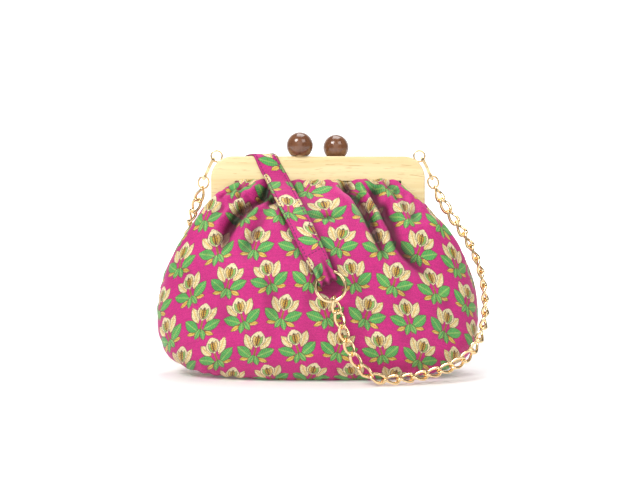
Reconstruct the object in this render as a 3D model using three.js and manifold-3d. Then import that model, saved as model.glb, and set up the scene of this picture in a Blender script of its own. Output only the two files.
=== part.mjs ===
// A gathered fabric shoulder bag, standing on its oval base. Its pouch hangs from two wooden jaws that close
// with a pair of turned beads. The shoulder strap is a flat fabric band with a metal ring at each end, and a
// curb chain from each ring to a lobster clasp that is hooked on the back jaw.
// Millimetres, +Z up, the front is towards -Y, and the origin is the middle of the base where it stands.
import * as THREE from "three";
import { mergeVertices } from "three/addons/utils/BufferGeometryUtils.js";
import Module from "manifold-3d";

// Pouch
const POUCH_WIDTH = 285;
const POUCH_DEPTH = 110;
const POUCH_HEIGHT = 172; // up to the underside of the wooden bars
const WALL = 2;
const BASE_WIDTH = 152;
const BASE_DEPTH = 62;
const BASE_THICKNESS = 2;
const SEAM_GAP = 0.3; // between two pieces that touch

// Wooden jaws, one in front and one behind
const FRAME_WIDTH = 188;
const FRAME_HEIGHT = 62;
const BAR_HEIGHT = 21.5;
const LEG_WIDTH = 21;
const JAW_THICKNESS = 10;
const OUTER_CORNER = 19;
const INNER_CORNER = 8;
const EDGE_ROUND = 1.4;
const HINGE_PLATE = 1.2;
const HINGE_BARREL = 1.7; // radius

// Closing beads
const BEAD_RADIUS = 11.2;
const BEAD_SEAT = 10; // from the bead's centre down to its flat foot
const BEAD_FOOT_RADIUS = 6.6;
const BEAD_OFFSET = 16;
const BEAD_PIN_RADIUS = 1.8;
const BEAD_PIN_DEPTH = 7;

// Strap band and its rings
const STRAP_WIDTH = 19;
const STRAP_FOLD_WIDTH = 12; // gathered where it turns round a ring
const STRAP_THICKNESS = 1.6;
const STRAP_TURNED_END = 17;
const STRAP_REST = 0.4; // between the band and the cloth or wood that it lies on
const RING_DIAMETER = 27;
const RING_WIRE = 2.6;

// Chain
const LINK_WIDTH = 11;
const LINK_PITCH = 12;
const LINK_WIRE = 2;
const LINK_TWIST = Math.PI / 4;
const HIDDEN_CHAIN_RADIUS = 4.4; // of the plain tube behind the pouch
const LINK_BITE = 0.2; // how far two links sink into each other where they bear
const JUMP_LENGTH = 12.5;
const JUMP_WIDTH = 10.8;
const JUMP_WIRE = 1.6;

// Lobster clasp and the ring that it hooks on
const EYE_RADIUS = 4.9; // of its ring's centreline
const EYE_WIRE = 1.5;
const EYE_STANDOFF = 6.2; // from the jaw's rounded corner to the middle of the ring
const EYE_SHANK_DEPTH = 9;
const EYE_SLANT = 52 * (Math.PI / 180); // of its shank, above level
const CLASP_THICKNESS = 2.6;
const CLASP_HOOK_INNER = 2.7;
const CLASP_HOOK_OUTER = 4.5;
const CLASP_GATE_DROP = 6.8; // from the hook's centre down to the lever's pivot
const CLASP_LENGTH = 15.5; // from the hook's centre to the tail eye's centre
const CLASP_EYE_OUTER = 3;
const CLASP_EYE_HOLE = 1.7;
const CLASP_LEAN = 27 * (Math.PI / 180); // from upright, outwards
const CLASP_SEAT = 50 * (Math.PI / 180); // where it hangs on the ring, below level
const LEVER_THICKNESS = 1.2;
const LEVER_SLOT = 1.8;
const LEVER_PIVOT_RADIUS = 0.5;
const LEVER_PIVOT_GAP = 0.2;

const FRAME_TOP = POUCH_HEIGHT + BAR_HEIGHT;
const LEG_FOOT = FRAME_TOP - FRAME_HEIGHT;
const JAW_INNER = SEAM_GAP / 2; // from the middle plane to a jaw's inner face
const JAW_OUTER = JAW_INNER + JAW_THICKNESS;
const BARREL_CENTRE = LEG_FOOT - SEAM_GAP - HINGE_PLATE - HINGE_BARREL * 0.6;
const RIM_SEAM_HEIGHT = BARREL_CENTRE - HINGE_BARREL - SEAM_GAP;
const RING_CENTRELINE = (RING_DIAMETER - RING_WIRE) / 2;
const RING_SAG = STRAP_FOLD_WIDTH ** 2 / (8 * RING_CENTRELINE); // the ring's wire falls away under the fold
const FOLD_RADIUS = RING_WIRE / 2 + SEAM_GAP + STRAP_THICKNESS / 2 + 0.2;

const WOOD = new THREE.MeshStandardMaterial({ color: 0xf6dfa4, roughness: 0.5, metalness: 0 });
const BEAD = new THREE.MeshStandardMaterial({ color: 0x7c4a2d, roughness: 0.15, metalness: 0 });
const GOLD = new THREE.MeshStandardMaterial({ color: 0xe6c48a, roughness: 0.2, metalness: 1 });
const FABRIC = new THREE.MeshStandardMaterial({ color: 0xd8358e, roughness: 0.6, metalness: 0 });

const wasm = await Module();
wasm.setup();

const smooth = (low, high, value) => THREE.MathUtils.smoothstep(value, low, high);

function solidFrom(geometry) {
  const bare = geometry.clone();
  bare.deleteAttribute("normal");
  bare.deleteAttribute("uv");
  const merged = mergeVertices(bare, 1e-4);
  const mesh = { numProp: 3, vertProperties: merged.attributes.position.array };
  return new wasm.Manifold(new wasm.Mesh({ ...mesh, triVerts: new Uint32Array(merged.index.array) }));
}

function geometryFrom(solid) {
  const mesh = solid.getMesh();
  return new THREE.BufferGeometry()
    .setAttribute("position", new THREE.BufferAttribute(mesh.vertProperties, 3))
    .setIndex(new THREE.BufferAttribute(mesh.triVerts, 1));
}

function named(name, geometry, material) {
  const mesh = new THREE.Mesh(geometry, material);
  mesh.name = name;
  return mesh;
}

// A closed solid from rings of points, each ring with as many points as the next. With loop, the last ring
// joins the first. Otherwise the two end rings are filled by fans.
function ringsSolid(rings, loop) {
  const size = rings[0].length;
  const positions = rings.flat().flatMap((p) => [p.x, p.y, p.z]);
  const index = [];
  const last = loop ? rings.length : rings.length - 1;
  for (let i = 0; i < last; i += 1) {
    const here = i * size;
    const next = ((i + 1) % rings.length) * size;
    for (let j = 0; j < size; j += 1) {
      const k = (j + 1) % size;
      index.push(here + j, next + j, next + k, here + j, next + k, here + k);
    }
  }
  for (let j = 1; !loop && j < size - 1; j += 1) {
    const end = (rings.length - 1) * size;
    index.push(0, j, j + 1, end, end + j + 1, end + j);
  }
  const geometry = new THREE.BufferGeometry().setIndex(index);
  geometry.setAttribute("position", new THREE.BufferAttribute(new Float32Array(positions), 3));
  const solid = solidFrom(geometry);
  return solid.volume() > 0 ? geometry : turnedOut(geometry);
}

function turnedOut(geometry) {
  const index = Array.from(geometry.index.array);
  for (let i = 0; i < index.length; i += 3) {
    [index[i + 1], index[i + 2]] = [index[i + 2], index[i + 1]];
  }
  return geometry.setIndex(index);
}

// The pouch's level rings, from the base up. seam and front are the heights at the side seams and at the
// middle of a panel, as shares of the pouch's height. width and depth are shares of its half width and depth.
const SECTIONS = [
  { seam: 0.008, front: 0.008, width: 0.68, depth: 0.64, squareness: 2.5 },
  { seam: 0.045, front: 0.045, width: 0.845, depth: 0.77, squareness: 2.4 },
  { seam: 0.116, front: 0.116, width: 0.95, depth: 0.89, squareness: 2.35 },
  { seam: 0.22, front: 0.22, width: 0.993, depth: 0.97, squareness: 2.3 },
  { seam: 0.34, front: 0.35, width: 1.0, depth: 1.0, squareness: 2.3 },
  { seam: 0.465, front: 0.5, width: 0.979, depth: 0.985, squareness: 2.3 },
  { seam: 0.58, front: 0.65, width: 0.93, depth: 0.92, squareness: 2.4 },
  { seam: 0.65, front: 0.78, width: 0.875, depth: 0.8, squareness: 2.8 },
  { seam: 0.685, front: 0.875, width: 0.81, depth: 0.64, squareness: 3.4 },
  { seam: 0.712, front: 0.943, width: 0.735, depth: 0.46, squareness: 4 },
];

// Pleats where a panel is gathered under its bar. at is the place across the panel, from -1 at the left seam
// to 1 at the right, and drift is how far it wanders on its way down. top and foot are heights as shares.
const FRONT_PLEATS = [
  { at: -0.6, drift: -0.06, deep: 4, wide: 0.07, top: 0.96, foot: 0.6 },
  { at: -0.4, drift: -0.04, deep: 11, wide: 0.075, top: 0.99, foot: 0.6 },
  { at: -0.26, drift: -0.03, deep: 6, wide: 0.05, top: 0.99, foot: 0.55 },
  { at: -0.02, drift: 0.01, deep: 4, wide: 0.045, top: 0.99, foot: 0.76 },
  { at: 0.2, drift: 0.12, deep: 10, wide: 0.07, top: 0.99, foot: 0.58 },
  { at: 0.38, drift: 0.1, deep: 6, wide: 0.06, top: 0.98, foot: 0.5 },
  { at: 0.58, drift: 0.05, deep: 5, wide: 0.07, top: 0.94, foot: 0.44 },
];
const BACK_PLEATS = [
  { at: -0.56, drift: -0.05, deep: 5, wide: 0.07, top: 0.96, foot: 0.55 },
  { at: -0.33, drift: -0.05, deep: 9, wide: 0.07, top: 0.99, foot: 0.58 },
  { at: -0.08, drift: -0.02, deep: 6, wide: 0.055, top: 0.99, foot: 0.68 },
  { at: 0.16, drift: 0.05, deep: 8, wide: 0.065, top: 0.99, foot: 0.6 },
  { at: 0.4, drift: 0.05, deep: 6, wide: 0.065, top: 0.98, foot: 0.52 },
  { at: 0.6, drift: 0.04, deep: 4, wide: 0.07, top: 0.95, foot: 0.5 },
];
const PANEL_COLUMNS = 32;
const PLEAT_SWELL = 0.25; // how much of a pleat's depth the cloth beside it stands out

function sectionPoint(section, across) {
  const angle = (1 - Math.abs(across)) * (Math.PI / 2);
  const power = 2 / section.squareness;
  const rise = 1 - smooth(0.42, 1, Math.abs(across));
  const height = section.seam + (section.front - section.seam) * rise;
  const x = Math.sign(across) * section.width * Math.cos(angle) ** power * (POUCH_WIDTH / 2);
  const y = section.depth * Math.sin(angle) ** power * (POUCH_DEPTH / 2);
  return new THREE.Vector3(across === 0 ? 0 : x, y + SEAM_GAP / 2, height * POUCH_HEIGHT);
}

// The line that a panel's upper edge is glued along: from the side seam below the hinge, in under the leg,
// up the leg's inner face, round the corner and along the bar to the middle.
function rimPoint(across) {
  const inside = FRAME_WIDTH / 2 - LEG_WIDTH - 2 * SEAM_GAP;
  const under = POUCH_HEIGHT - SEAM_GAP;
  const hinge = FRAME_WIDTH / 2 - LEG_WIDTH / 2;
  const path = new THREE.CurvePath();
  const at = (x, z) => new THREE.Vector3(x, 0, z);
  const corner = INNER_CORNER + 1;
  path.add(new THREE.LineCurve3(at(0, under), at(inside - corner, under)));
  const bend = at(inside, under);
  path.add(new THREE.QuadraticBezierCurve3(path.curves[0].v2, bend, at(inside, under - corner)));
  path.add(new THREE.LineCurve3(at(inside, under - corner), at(inside, RIM_SEAM_HEIGHT)));
  path.add(new THREE.LineCurve3(at(inside, RIM_SEAM_HEIGHT), at(hinge, RIM_SEAM_HEIGHT)));
  const point = path.getPointAt(Math.abs(across));
  return new THREE.Vector3(Math.sign(across) * point.x, 0, point.z);
}

function edgePoints(across) {
  const seamless = 1 - smooth(0.9, 1, Math.abs(across));
  const outward = Math.sign(across) * (1 - seamless) * 5;
  const rim = rimPoint(across);
  const low = SEAM_GAP / 2;
  const front = rim.clone().add(new THREE.Vector3(outward, low + seamless * (JAW_OUTER + SEAM_GAP), 0));
  const back = rim.clone().add(new THREE.Vector3(0, low + seamless * JAW_THICKNESS * 0.3, 0));
  return [front, back];
}

function pleatDepth(pleats, across, height) {
  let sunk = 0;
  for (const pleat of pleats) {
    const down = THREE.MathUtils.clamp((pleat.top - height) / (pleat.top - pleat.foot), 0, 1);
    const strength = Math.sin(Math.PI * Math.sqrt(down)) * (height < pleat.top ? 1 : 0);
    const off = (across - pleat.at - pleat.drift * down) / (pleat.wide * (1 + down));
    const beside = PLEAT_SWELL * Math.exp(-((Math.abs(off) - 1.9) ** 2));
    sunk += pleat.deep * strength * (Math.exp(-off * off) - beside);
  }
  return sunk;
}

// The outside of one panel as rows of points from the base seam up to the rim, for the back: y is positive.
function panelRows(pleats) {
  const rows = [];
  const foot = { seam: 0.001, front: 0.001, squareness: 2.5 };
  foot.width = (BASE_WIDTH / 2 + SEAM_GAP) / (POUCH_WIDTH / 2);
  foot.depth = (BASE_DEPTH / 2 + SEAM_GAP) / (POUCH_DEPTH / 2);
  const columns = Array.from({ length: PANEL_COLUMNS + 1 }, (_, i) => (2 * i) / PANEL_COLUMNS - 1);
  for (const section of [foot, ...SECTIONS]) {
    rows.push(columns.map((across) => sectionPoint(section, across)));
  }
  rows.push(columns.map((across) => edgePoints(across)[0]));
  rows.push(columns.map((across) => edgePoints(across)[1]));
  const flat = rows.map((row) => row.map((p) => p.clone()));
  rows.forEach((row, i) => {
    const pleated = i > 0 && i < rows.length - 2;
    row.forEach((point, j) => {
      const normal = rowNormal(flat, i, j);
      const fade = 1 - smooth(0.75, 0.95, Math.abs(columns[j]));
      const sunk = pleated ? fade * pleatDepth(pleats, columns[j], point.z / POUCH_HEIGHT) : 0;
      point.addScaledVector(normal, -sunk);
    });
  });
  return rows;
}

// The outward normal of a grid of points. On the side seams it stays in the seam's plane.
function rowNormal(rows, i, j) {
  const row = rows[i];
  const across = row[Math.min(j + 1, row.length - 1)].clone().sub(row[Math.max(j - 1, 0)]);
  const above = rows[Math.min(i + 1, rows.length - 1)][j];
  const up = above.clone().sub(rows[Math.max(i - 1, 0)][j]);
  const normal = up.cross(across);
  if (j === 0 || j === row.length - 1) {
    normal.y = 0;
  }
  return normal.normalize();
}

// A wall of even thickness inside rows of points, closed round its edges.
function wallGeometry(rows, thickness) {
  const within = (p, i, j) => p.clone().addScaledVector(rowNormal(rows, i, j), -thickness);
  const inner = rows.map((row, i) => row.map((p, j) => within(p, i, j)));
  const columns = rows[0].length;
  const count = rows.length * columns;
  const positions = [...rows.flat(), ...inner.flat()].flatMap((p) => [p.x, p.y, p.z]);
  const index = [];
  const quad = (a, b, c, d) => index.push(a, b, c, a, c, d);
  for (let i = 0; i < rows.length - 1; i += 1) {
    for (let j = 0; j < columns - 1; j += 1) {
      const a = i * columns + j;
      quad(a, a + 1, a + 1 + columns, a + columns);
      quad(count + a, count + a + columns, count + a + 1 + columns, count + a + 1);
    }
  }
  const top = (rows.length - 1) * columns;
  for (let j = 0; j < columns - 1; j += 1) {
    quad(j + 1, j, count + j, count + j + 1);
    quad(top + j, top + j + 1, count + top + j + 1, count + top + j);
  }
  for (let i = 0; i < rows.length - 1; i += 1) {
    const left = i * columns;
    const right = left + columns - 1;
    quad(left, left + columns, count + left + columns, count + left);
    quad(right + columns, right, count + right, count + right + columns);
  }
  const geometry = new THREE.BufferGeometry().setIndex(index);
  geometry.setAttribute("position", new THREE.BufferAttribute(new Float32Array(positions), 3));
  return solidFrom(geometry).volume() > 0 ? geometry : turnedOut(geometry);
}

function panel(name, pleats, side) {
  const rows = panelRows(pleats);
  rows.flat().forEach((p) => {
    p.y *= side;
  });
  const facing = side < 0 ? rows.map((row) => row.slice().reverse()) : rows;
  return named(name, wallGeometry(facing, WALL), FABRIC);
}

function basePanel() {
  const outline = [];
  const steps = 36;
  const power = 2 / 2.5;
  for (let i = 0; i < steps; i += 1) {
    const angle = (i / steps) * 2 * Math.PI;
    const [c, s] = [Math.cos(angle), Math.sin(angle)];
    const x = Math.sign(c) * Math.abs(c) ** power * (BASE_WIDTH / 2 - SEAM_GAP);
    outline.push(new THREE.Vector2(x, Math.sign(s) * Math.abs(s) ** power * (BASE_DEPTH / 2 - SEAM_GAP)));
  }
  const flat = { depth: BASE_THICKNESS, bevelEnabled: false };
  return named("base_panel", new THREE.ExtrudeGeometry(new THREE.Shape(outline), flat), FABRIC);
}

// A jaw's outline in its own plane, with its edges rounded by the extrusion's bevel.
function jawGeometry() {
  const half = FRAME_WIDTH / 2 - EDGE_ROUND;
  const top = FRAME_TOP - EDGE_ROUND;
  const foot = LEG_FOOT + EDGE_ROUND;
  const inside = FRAME_WIDTH / 2 - LEG_WIDTH + EDGE_ROUND;
  const under = POUCH_HEIGHT + EDGE_ROUND;
  const corner = OUTER_CORNER - EDGE_ROUND;
  const bend = INNER_CORNER + EDGE_ROUND;
  const outline = new THREE.Shape();
  outline.moveTo(inside, foot);
  outline.lineTo(half, foot);
  outline.lineTo(half, top - corner);
  outline.absarc(half - corner, top - corner, corner, 0, Math.PI / 2, false);
  outline.lineTo(-half + corner, top);
  outline.absarc(-half + corner, top - corner, corner, Math.PI / 2, Math.PI, false);
  outline.lineTo(-half, foot);
  outline.lineTo(-inside, foot);
  outline.lineTo(-inside, under - bend);
  outline.absarc(-inside + bend, under - bend, bend, Math.PI, Math.PI / 2, true);
  outline.lineTo(inside - bend, under);
  outline.absarc(inside - bend, under - bend, bend, Math.PI / 2, 0, true);
  outline.closePath();
  const geometry = new THREE.ExtrudeGeometry(outline, {
    depth: JAW_THICKNESS - 2 * EDGE_ROUND,
    bevelThickness: EDGE_ROUND,
    bevelSize: EDGE_ROUND,
    bevelSegments: 1,
    curveSegments: 5,
  });
  return geometry.translate(0, 0, EDGE_ROUND).rotateX(Math.PI / 2);
}

function beadX(side) {
  return side * BEAD_OFFSET;
}

function beadY(side) {
  return side * (JAW_INNER + JAW_THICKNESS / 2);
}

function beadPinGeometry(side, growth) {
  const length = 2 * (BEAD_PIN_DEPTH + growth);
  const geometry = new THREE.CylinderGeometry(BEAD_PIN_RADIUS + growth, BEAD_PIN_RADIUS + growth, length, 10);
  return geometry.rotateX(Math.PI / 2).translate(beadX(side), beadY(side), FRAME_TOP);
}

function jaw(name, side) {
  const plain = jawGeometry().translate(0, side < 0 ? -JAW_INNER : JAW_OUTER, 0);
  let drilled = solidFrom(plain).subtract(solidFrom(beadPinGeometry(side, SEAM_GAP)));
  if (side > 0) {
    drilled = drilled.subtract(solidFrom(shankGeometry(-1, SEAM_GAP)));
    drilled = drilled.subtract(solidFrom(shankGeometry(1, SEAM_GAP)));
  }
  return named(name, geometryFrom(drilled), WOOD);
}

function bead(name, side) {
  const profile = [new THREE.Vector2(0, -BEAD_SEAT)];
  const rows = 8;
  const start = -Math.asin(BEAD_SEAT / BEAD_RADIUS);
  for (let i = 0; i < rows; i += 1) {
    const angle = start + ((Math.PI / 2 - start) * i) / rows;
    const foot = i === 0 ? BEAD_FOOT_RADIUS : BEAD_RADIUS * Math.cos(angle);
    profile.push(new THREE.Vector2(foot, BEAD_RADIUS * Math.sin(angle)));
  }
  profile.push(new THREE.Vector2(0, BEAD_RADIUS));
  const ball = new THREE.LatheGeometry(profile, 12).rotateX(Math.PI / 2);
  ball.translate(beadX(side), beadY(side), FRAME_TOP + SEAM_GAP + BEAD_SEAT);
  const drilled = solidFrom(ball).subtract(solidFrom(beadPinGeometry(side, SEAM_GAP)));
  return named(name, geometryFrom(drilled), BEAD);
}

function hinge(name, side) {
  const length = LEG_WIDTH - 4 * EDGE_ROUND;
  const plate = new THREE.BoxGeometry(length, 2 * JAW_THICKNESS - 2 * EDGE_ROUND, HINGE_PLATE);
  plate.translate(0, 0, LEG_FOOT - SEAM_GAP - HINGE_PLATE / 2);
  const barrel = new THREE.CylinderGeometry(HINGE_BARREL, HINGE_BARREL, length, 12);
  barrel.rotateZ(Math.PI / 2).translate(0, 0, BARREL_CENTRE);
  const joined = geometryFrom(solidFrom(plate).add(solidFrom(barrel)));
  return named(name, joined.translate(side * (FRAME_WIDTH / 2 - LEG_WIDTH / 2), 0, 0), GOLD);
}

// A closed loop of round wire along points, with one corner of its section towards the loop's middle.
function wireLoop(points, wireRadius, sides) {
  const middle = points.reduce((sum, p) => sum.add(p), new THREE.Vector3()).divideScalar(points.length);
  const rings = points.map((point, i) => {
    const before = points[(i + points.length - 1) % points.length];
    const after = points[(i + 1) % points.length];
    const along = after.clone().sub(before).normalize();
    const inward = middle.clone().sub(point);
    inward.addScaledVector(along, -inward.dot(along)).normalize();
    const beside = along.clone().cross(inward);
    return Array.from({ length: sides }, (_, j) => {
      const turn = (2 * Math.PI * j) / sides;
      const spoke = inward.clone().multiplyScalar(Math.cos(turn)).addScaledVector(beside, Math.sin(turn));
      return point.clone().addScaledVector(spoke, wireRadius);
    });
  });
  return ringsSolid(rings, true);
}

// One chain link between two bearing points, its flat side facing the given way.
function link(from, to, facing, size) {
  const along = to.clone().sub(from).normalize();
  const normal = facing.clone().addScaledVector(along, -facing.dot(along)).normalize();
  const beside = normal.clone().cross(along);
  const middle = from.clone().add(to).multiplyScalar(0.5);
  const reach = from.distanceTo(to) / 2;
  const half = (size.width - size.wire) / 2;
  const steps = 10;
  const points = Array.from({ length: steps }, (_, i) => {
    const angle = (2 * Math.PI * i) / steps;
    const across = half * Math.sin(angle);
    const twist = size.twist * Math.cos(angle);
    return middle
      .clone()
      .addScaledVector(along, reach * Math.cos(angle))
      .addScaledVector(beside, across * Math.cos(twist))
      .addScaledVector(normal, across * Math.sin(twist));
  });
  return solidFrom(wireLoop(points, size.wire / 2, 5));
}

// The route of each chain, from its clasp to its ring, with the way that its flat side faces.
const RIGHT_ROUTE = [
  { x: 106.5, y: 6, z: 163, faceX: 0.1, faceY: -1, faceZ: 0 },
  { x: 112, y: 5, z: 152.5, faceX: 0.2, faceY: -1, faceZ: 0.1 },
  { x: 119, y: 3, z: 141.5, faceX: 0.4, faceY: -1, faceZ: 0.2 },
  { x: 127, y: -0.5, z: 129.5, faceX: 0.8, faceY: -0.8, faceZ: 0.3 },
  { x: 134, y: -4, z: 117, faceX: 1, faceY: -0.5, faceZ: 0.3 },
  { x: 140, y: -7.5, z: 103, faceX: 1, faceY: -0.3, faceZ: 0.2 },
  { x: 144, y: -11, z: 88.5, faceX: 1, faceY: -0.2, faceZ: 0 },
  { x: 146, y: -14, z: 73, faceX: 1, faceY: -0.3, faceZ: 0 },
  { x: 146, y: -17.5, z: 57, faceX: 1, faceY: -0.4, faceZ: 0 },
  { x: 142.5, y: -22.5, z: 41.5, faceX: 1, faceY: -0.6, faceZ: -0.1 },
  { x: 134.5, y: -30.5, z: 27.5, faceX: 0.8, faceY: -0.8, faceZ: 0 },
  { x: 121, y: -39.5, z: 17, faceX: 0.5, faceY: -0.8, faceZ: 0.4 },
  { x: 105, y: -46, z: 11.5, faceX: 0.2, faceY: -0.7, faceZ: 0.7 },
  { x: 87, y: -50.5, z: 7.5, faceX: 0, faceY: -0.6, faceZ: 0.8 },
  { x: 69, y: -54.5, z: 5.4, faceX: 0, faceY: -0.5, faceZ: 0.9 },
  { x: 52, y: -58.5, z: 5.6, faceX: -0.2, faceY: -0.8, faceZ: 0.6 },
  { x: 39, y: -61, z: 12, faceX: -0.2, faceY: -1, faceZ: 0.2 },
  { x: 30.5, y: -62, z: 23, faceX: 0, faceY: -1, faceZ: 0 },
  { x: 24.5, y: -62, z: 36, faceX: 0, faceY: -1, faceZ: 0 },
  { x: 20, y: -62, z: 49, faceX: 0, faceY: -1, faceZ: 0 },
  { x: 16.5, y: -61.5, z: 61, faceX: 0, faceY: -1, faceZ: 0 },
];
const LEFT_ROUTE = [
  { x: -105, y: 8, z: 162, faceX: -0.1, faceY: -1, faceZ: 0 },
  { x: -110.5, y: 12.5, z: 150, faceX: -0.3, faceY: -1, faceZ: 0 },
  { x: -116, y: 19.5, z: 138, faceX: -0.9, faceY: -0.5, faceZ: 0.2 },
  { x: -120.5, y: 27.5, z: 123, faceX: -1, faceY: 0.3, faceZ: 0.3 },
  { x: -124, y: 33, z: 107, faceX: -1, faceY: 0.4, faceZ: 0.2 },
  { x: -126, y: 35, z: 90, faceX: -1, faceY: 0.5, faceZ: 0 },
  { x: -128, y: 39, z: 73, faceX: -1, faceY: 0.6, faceZ: 0 },
  { x: -128.5, y: 41.5, z: 57, faceX: -1, faceY: 0.6, faceZ: 0 },
  { x: -128, y: 45.5, z: 42, faceX: -1, faceY: 0.5, faceZ: 0 },
  { x: -128.5, y: 51, z: 28, faceX: -1, faceY: 0.2, faceZ: 0.2 },
  { x: -131.5, y: 60, z: 15, faceX: -0.9, faceY: 0, faceZ: 0.6 },
  { x: -139, y: 72, z: 6.6, faceX: -0.5, faceY: 0, faceZ: 0.9 },
  { x: -143.5, y: 87, z: 4.8, faceX: 0, faceY: 0, faceZ: 1 },
  { x: -145, y: 103, z: 4.8, faceX: 0, faceY: 0, faceZ: 1 },
  { x: -140, y: 120, z: 4.8, faceX: 0, faceY: 0, faceZ: 1 },
  { x: -127, y: 133, z: 4.8, faceX: 0, faceY: 0, faceZ: 1 },
  { x: -110, y: 138, z: 4.8, faceX: 0, faceY: 0, faceZ: 1 },
  { x: -92, y: 136, z: 4.8, faceX: 0, faceY: 0, faceZ: 1 },
  { x: -77, y: 127, z: 5.6, faceX: 0, faceY: 0, faceZ: 1 },
  { x: -68.5, y: 117, z: 7.6, faceX: 0, faceY: 0, faceZ: 1 },
];

// Walks points in equal chords and returns where they end, the last at the last point.
function equalChords(samples, start, nominal) {
  const walk = (chord) => {
    const found = [start];
    for (const sample of samples) {
      if (found[found.length - 1].distanceTo(sample) >= chord) {
        found.push(sample);
      }
    }
    return found;
  };
  const end = samples[samples.length - 1];
  const first = walk(nominal);
  const count = Math.round(first.length - 1 + first[first.length - 1].distanceTo(end) / nominal);
  let [low, high] = [nominal * 0.9, nominal * 1.1];
  for (let i = 0; i < 40; i += 1) {
    const chord = (low + high) / 2;
    [low, high] = walk(chord).length - 1 >= count ? [chord, high] : [low, chord];
  }
  const points = walk(low).slice(0, count + 1);
  points[count] = end;
  return points;
}

// The way that the route's chain faces at a point, from the two rows of its table nearest to it.
function facingAt(route, point) {
  const ranked = route
    .map((row) => ({ row, far: Math.hypot(row.x - point.x, row.y - point.y, row.z - point.z) }))
    .sort((a, b) => a.far - b.far);
  const [first, second] = ranked;
  const facing = (row) => new THREE.Vector3(row.faceX, row.faceY, row.faceZ);
  return facing(first.row).multiplyScalar(second.far).addScaledVector(facing(second.row), first.far);
}

// A link's facing that lays the wire at one of its ends across the hoop that it passes through.
function crossingFacing(from, to, hoopAxis, turn) {
  const along = to.clone().sub(from).normalize();
  return hoopAxis.clone().addScaledVector(hoopAxis.clone().cross(along), turn).normalize();
}

// A chain from a clasp's eye to a strap ring: a jump ring, then curb links. A hidden one is a plain tube
// between its first link and its last.
function chain(name, route, eye, ringPoint, ringAxis, hidden) {
  const via = route.map((p) => new THREE.Vector3(p.x, p.y, p.z));
  const curve = new THREE.CatmullRomCurve3([eye, ...via, ringPoint], false, "centripetal");
  const samples = curve.getSpacedPoints(6000);
  const jump = { width: JUMP_WIDTH, wire: JUMP_WIRE, twist: 0 };
  const curb = { width: LINK_WIDTH, wire: LINK_WIRE, twist: LINK_TWIST };
  const jumpEnd = samples.find((p) => p.distanceTo(eye) >= JUMP_LENGTH - JUMP_WIRE * 1.5);
  const bearings = equalChords(samples.slice(samples.indexOf(jumpEnd) + 1), jumpEnd, LINK_PITCH);
  const outset = (wire) => (wire - LINK_BITE) / 2;
  const extend = (a, b, wire) => a.clone().addScaledVector(a.clone().sub(b).normalize(), outset(wire));
  const level = new THREE.Vector3(0, 1, 0);
  const solids = [link(eye, extend(jumpEnd, eye, JUMP_WIRE), level, jump)];
  const last = bearings.length - 2;
  for (let i = 0; i <= last; i += hidden ? last : 1) {
    const [a, b] = [bearings[i], bearings[i + 1]];
    let facing = facingAt(route, a.clone().add(b).multiplyScalar(0.5));
    facing = i === 0 ? crossingFacing(a, b, level, 1) : facing;
    facing = i === last ? crossingFacing(a, b, ringAxis, -1) : facing;
    const to = i === last ? b : extend(b, a, LINK_WIRE);
    solids.push(link(extend(a, b, LINK_WIRE), to, facing, curb));
  }
  if (hidden) {
    solids.push(solidFrom(tubeAlong(bearings.slice(1, -1), HIDDEN_CHAIN_RADIUS)));
  }
  return named(name, geometryFrom(wasm.Manifold.union(solids)), GOLD);
}

function tubeAlong(points, radius) {
  const section = new THREE.Shape();
  const sides = 8;
  for (let i = 0; i < sides; i += 1) {
    const angle = (2 * Math.PI * i) / sides;
    section[i === 0 ? "moveTo" : "lineTo"](radius * Math.cos(angle), radius * Math.sin(angle));
  }
  section.closePath();
  const path = new THREE.CatmullRomCurve3(points, false, "centripetal");
  const steps = Math.ceil(path.getLength() / (radius * 4));
  return new THREE.ExtrudeGeometry(section, { steps, extrudePath: path });
}

// A ring of wire in the plane of two directions.
function ringGeometry(centre, first, second, radius, wireRadius, steps, sides) {
  const points = Array.from({ length: steps }, (_, i) => {
    const angle = (2 * Math.PI * i) / steps;
    const spoke = first.clone().multiplyScalar(Math.cos(angle)).addScaledVector(second, Math.sin(angle));
    return centre.clone().addScaledVector(spoke, radius);
  });
  return wireLoop(points, wireRadius, sides);
}

// The strap band between its rings. x and z place its centreline, and lift is how far it hangs clear of the
// cloth or the wood that it would otherwise lie on.
const STRAP_FRONT = [
  { x: 5.5, z: 94, lift: 3 },
  { x: 2, z: 101.5, lift: 2.4 },
  { x: -6, z: 116, lift: 2 },
  { x: -15.5, z: 136, lift: 0.4 },
  { x: -23.5, z: 151, lift: 0.8 },
  { x: -30, z: 163, lift: 1.5 },
  { x: -36, z: 174, lift: 1.4 },
  { x: -42, z: 185, lift: 0 },
];
const STRAP_BACK = [
  { x: -60, z: 185, lift: 0 },
  { x: -64, z: 175, lift: 1.4 },
  { x: -67, z: 163, lift: 2.5 },
  { x: -69.5, z: 150, lift: 1.5 },
  { x: -70.5, z: 134, lift: 0.8 },
  { x: -70.5, z: 112, lift: 0.6 },
  { x: -69, z: 88, lift: 0.6 },
  { x: -67, z: 62, lift: 1.5 },
  { x: -65, z: 42, lift: 4 },
  { x: -63.5, z: 23, lift: 10 },
];
const STRAP_FLOOR = [
  { x: -62.5, y: 66, z: 11.5 },
  { x: -62, y: 72.5, z: 6.6 },
  { x: -61.5, y: 78.5, z: 4.6 },
  { x: -61, y: 86, z: 4.5 },
];
// Where the cloth is felt under the band: across it, as shares of its width.
const STRAP_FEELERS = [-0.55, -0.3, 0, 0.3, 0.55];
const STRAP_STEP = 13; // the longest between two sections of the band

const frontPanel = panel("front_panel", FRONT_PLEATS, -1);
const backPanel = panel("back_panel", BACK_PLEATS, 1);

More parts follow.
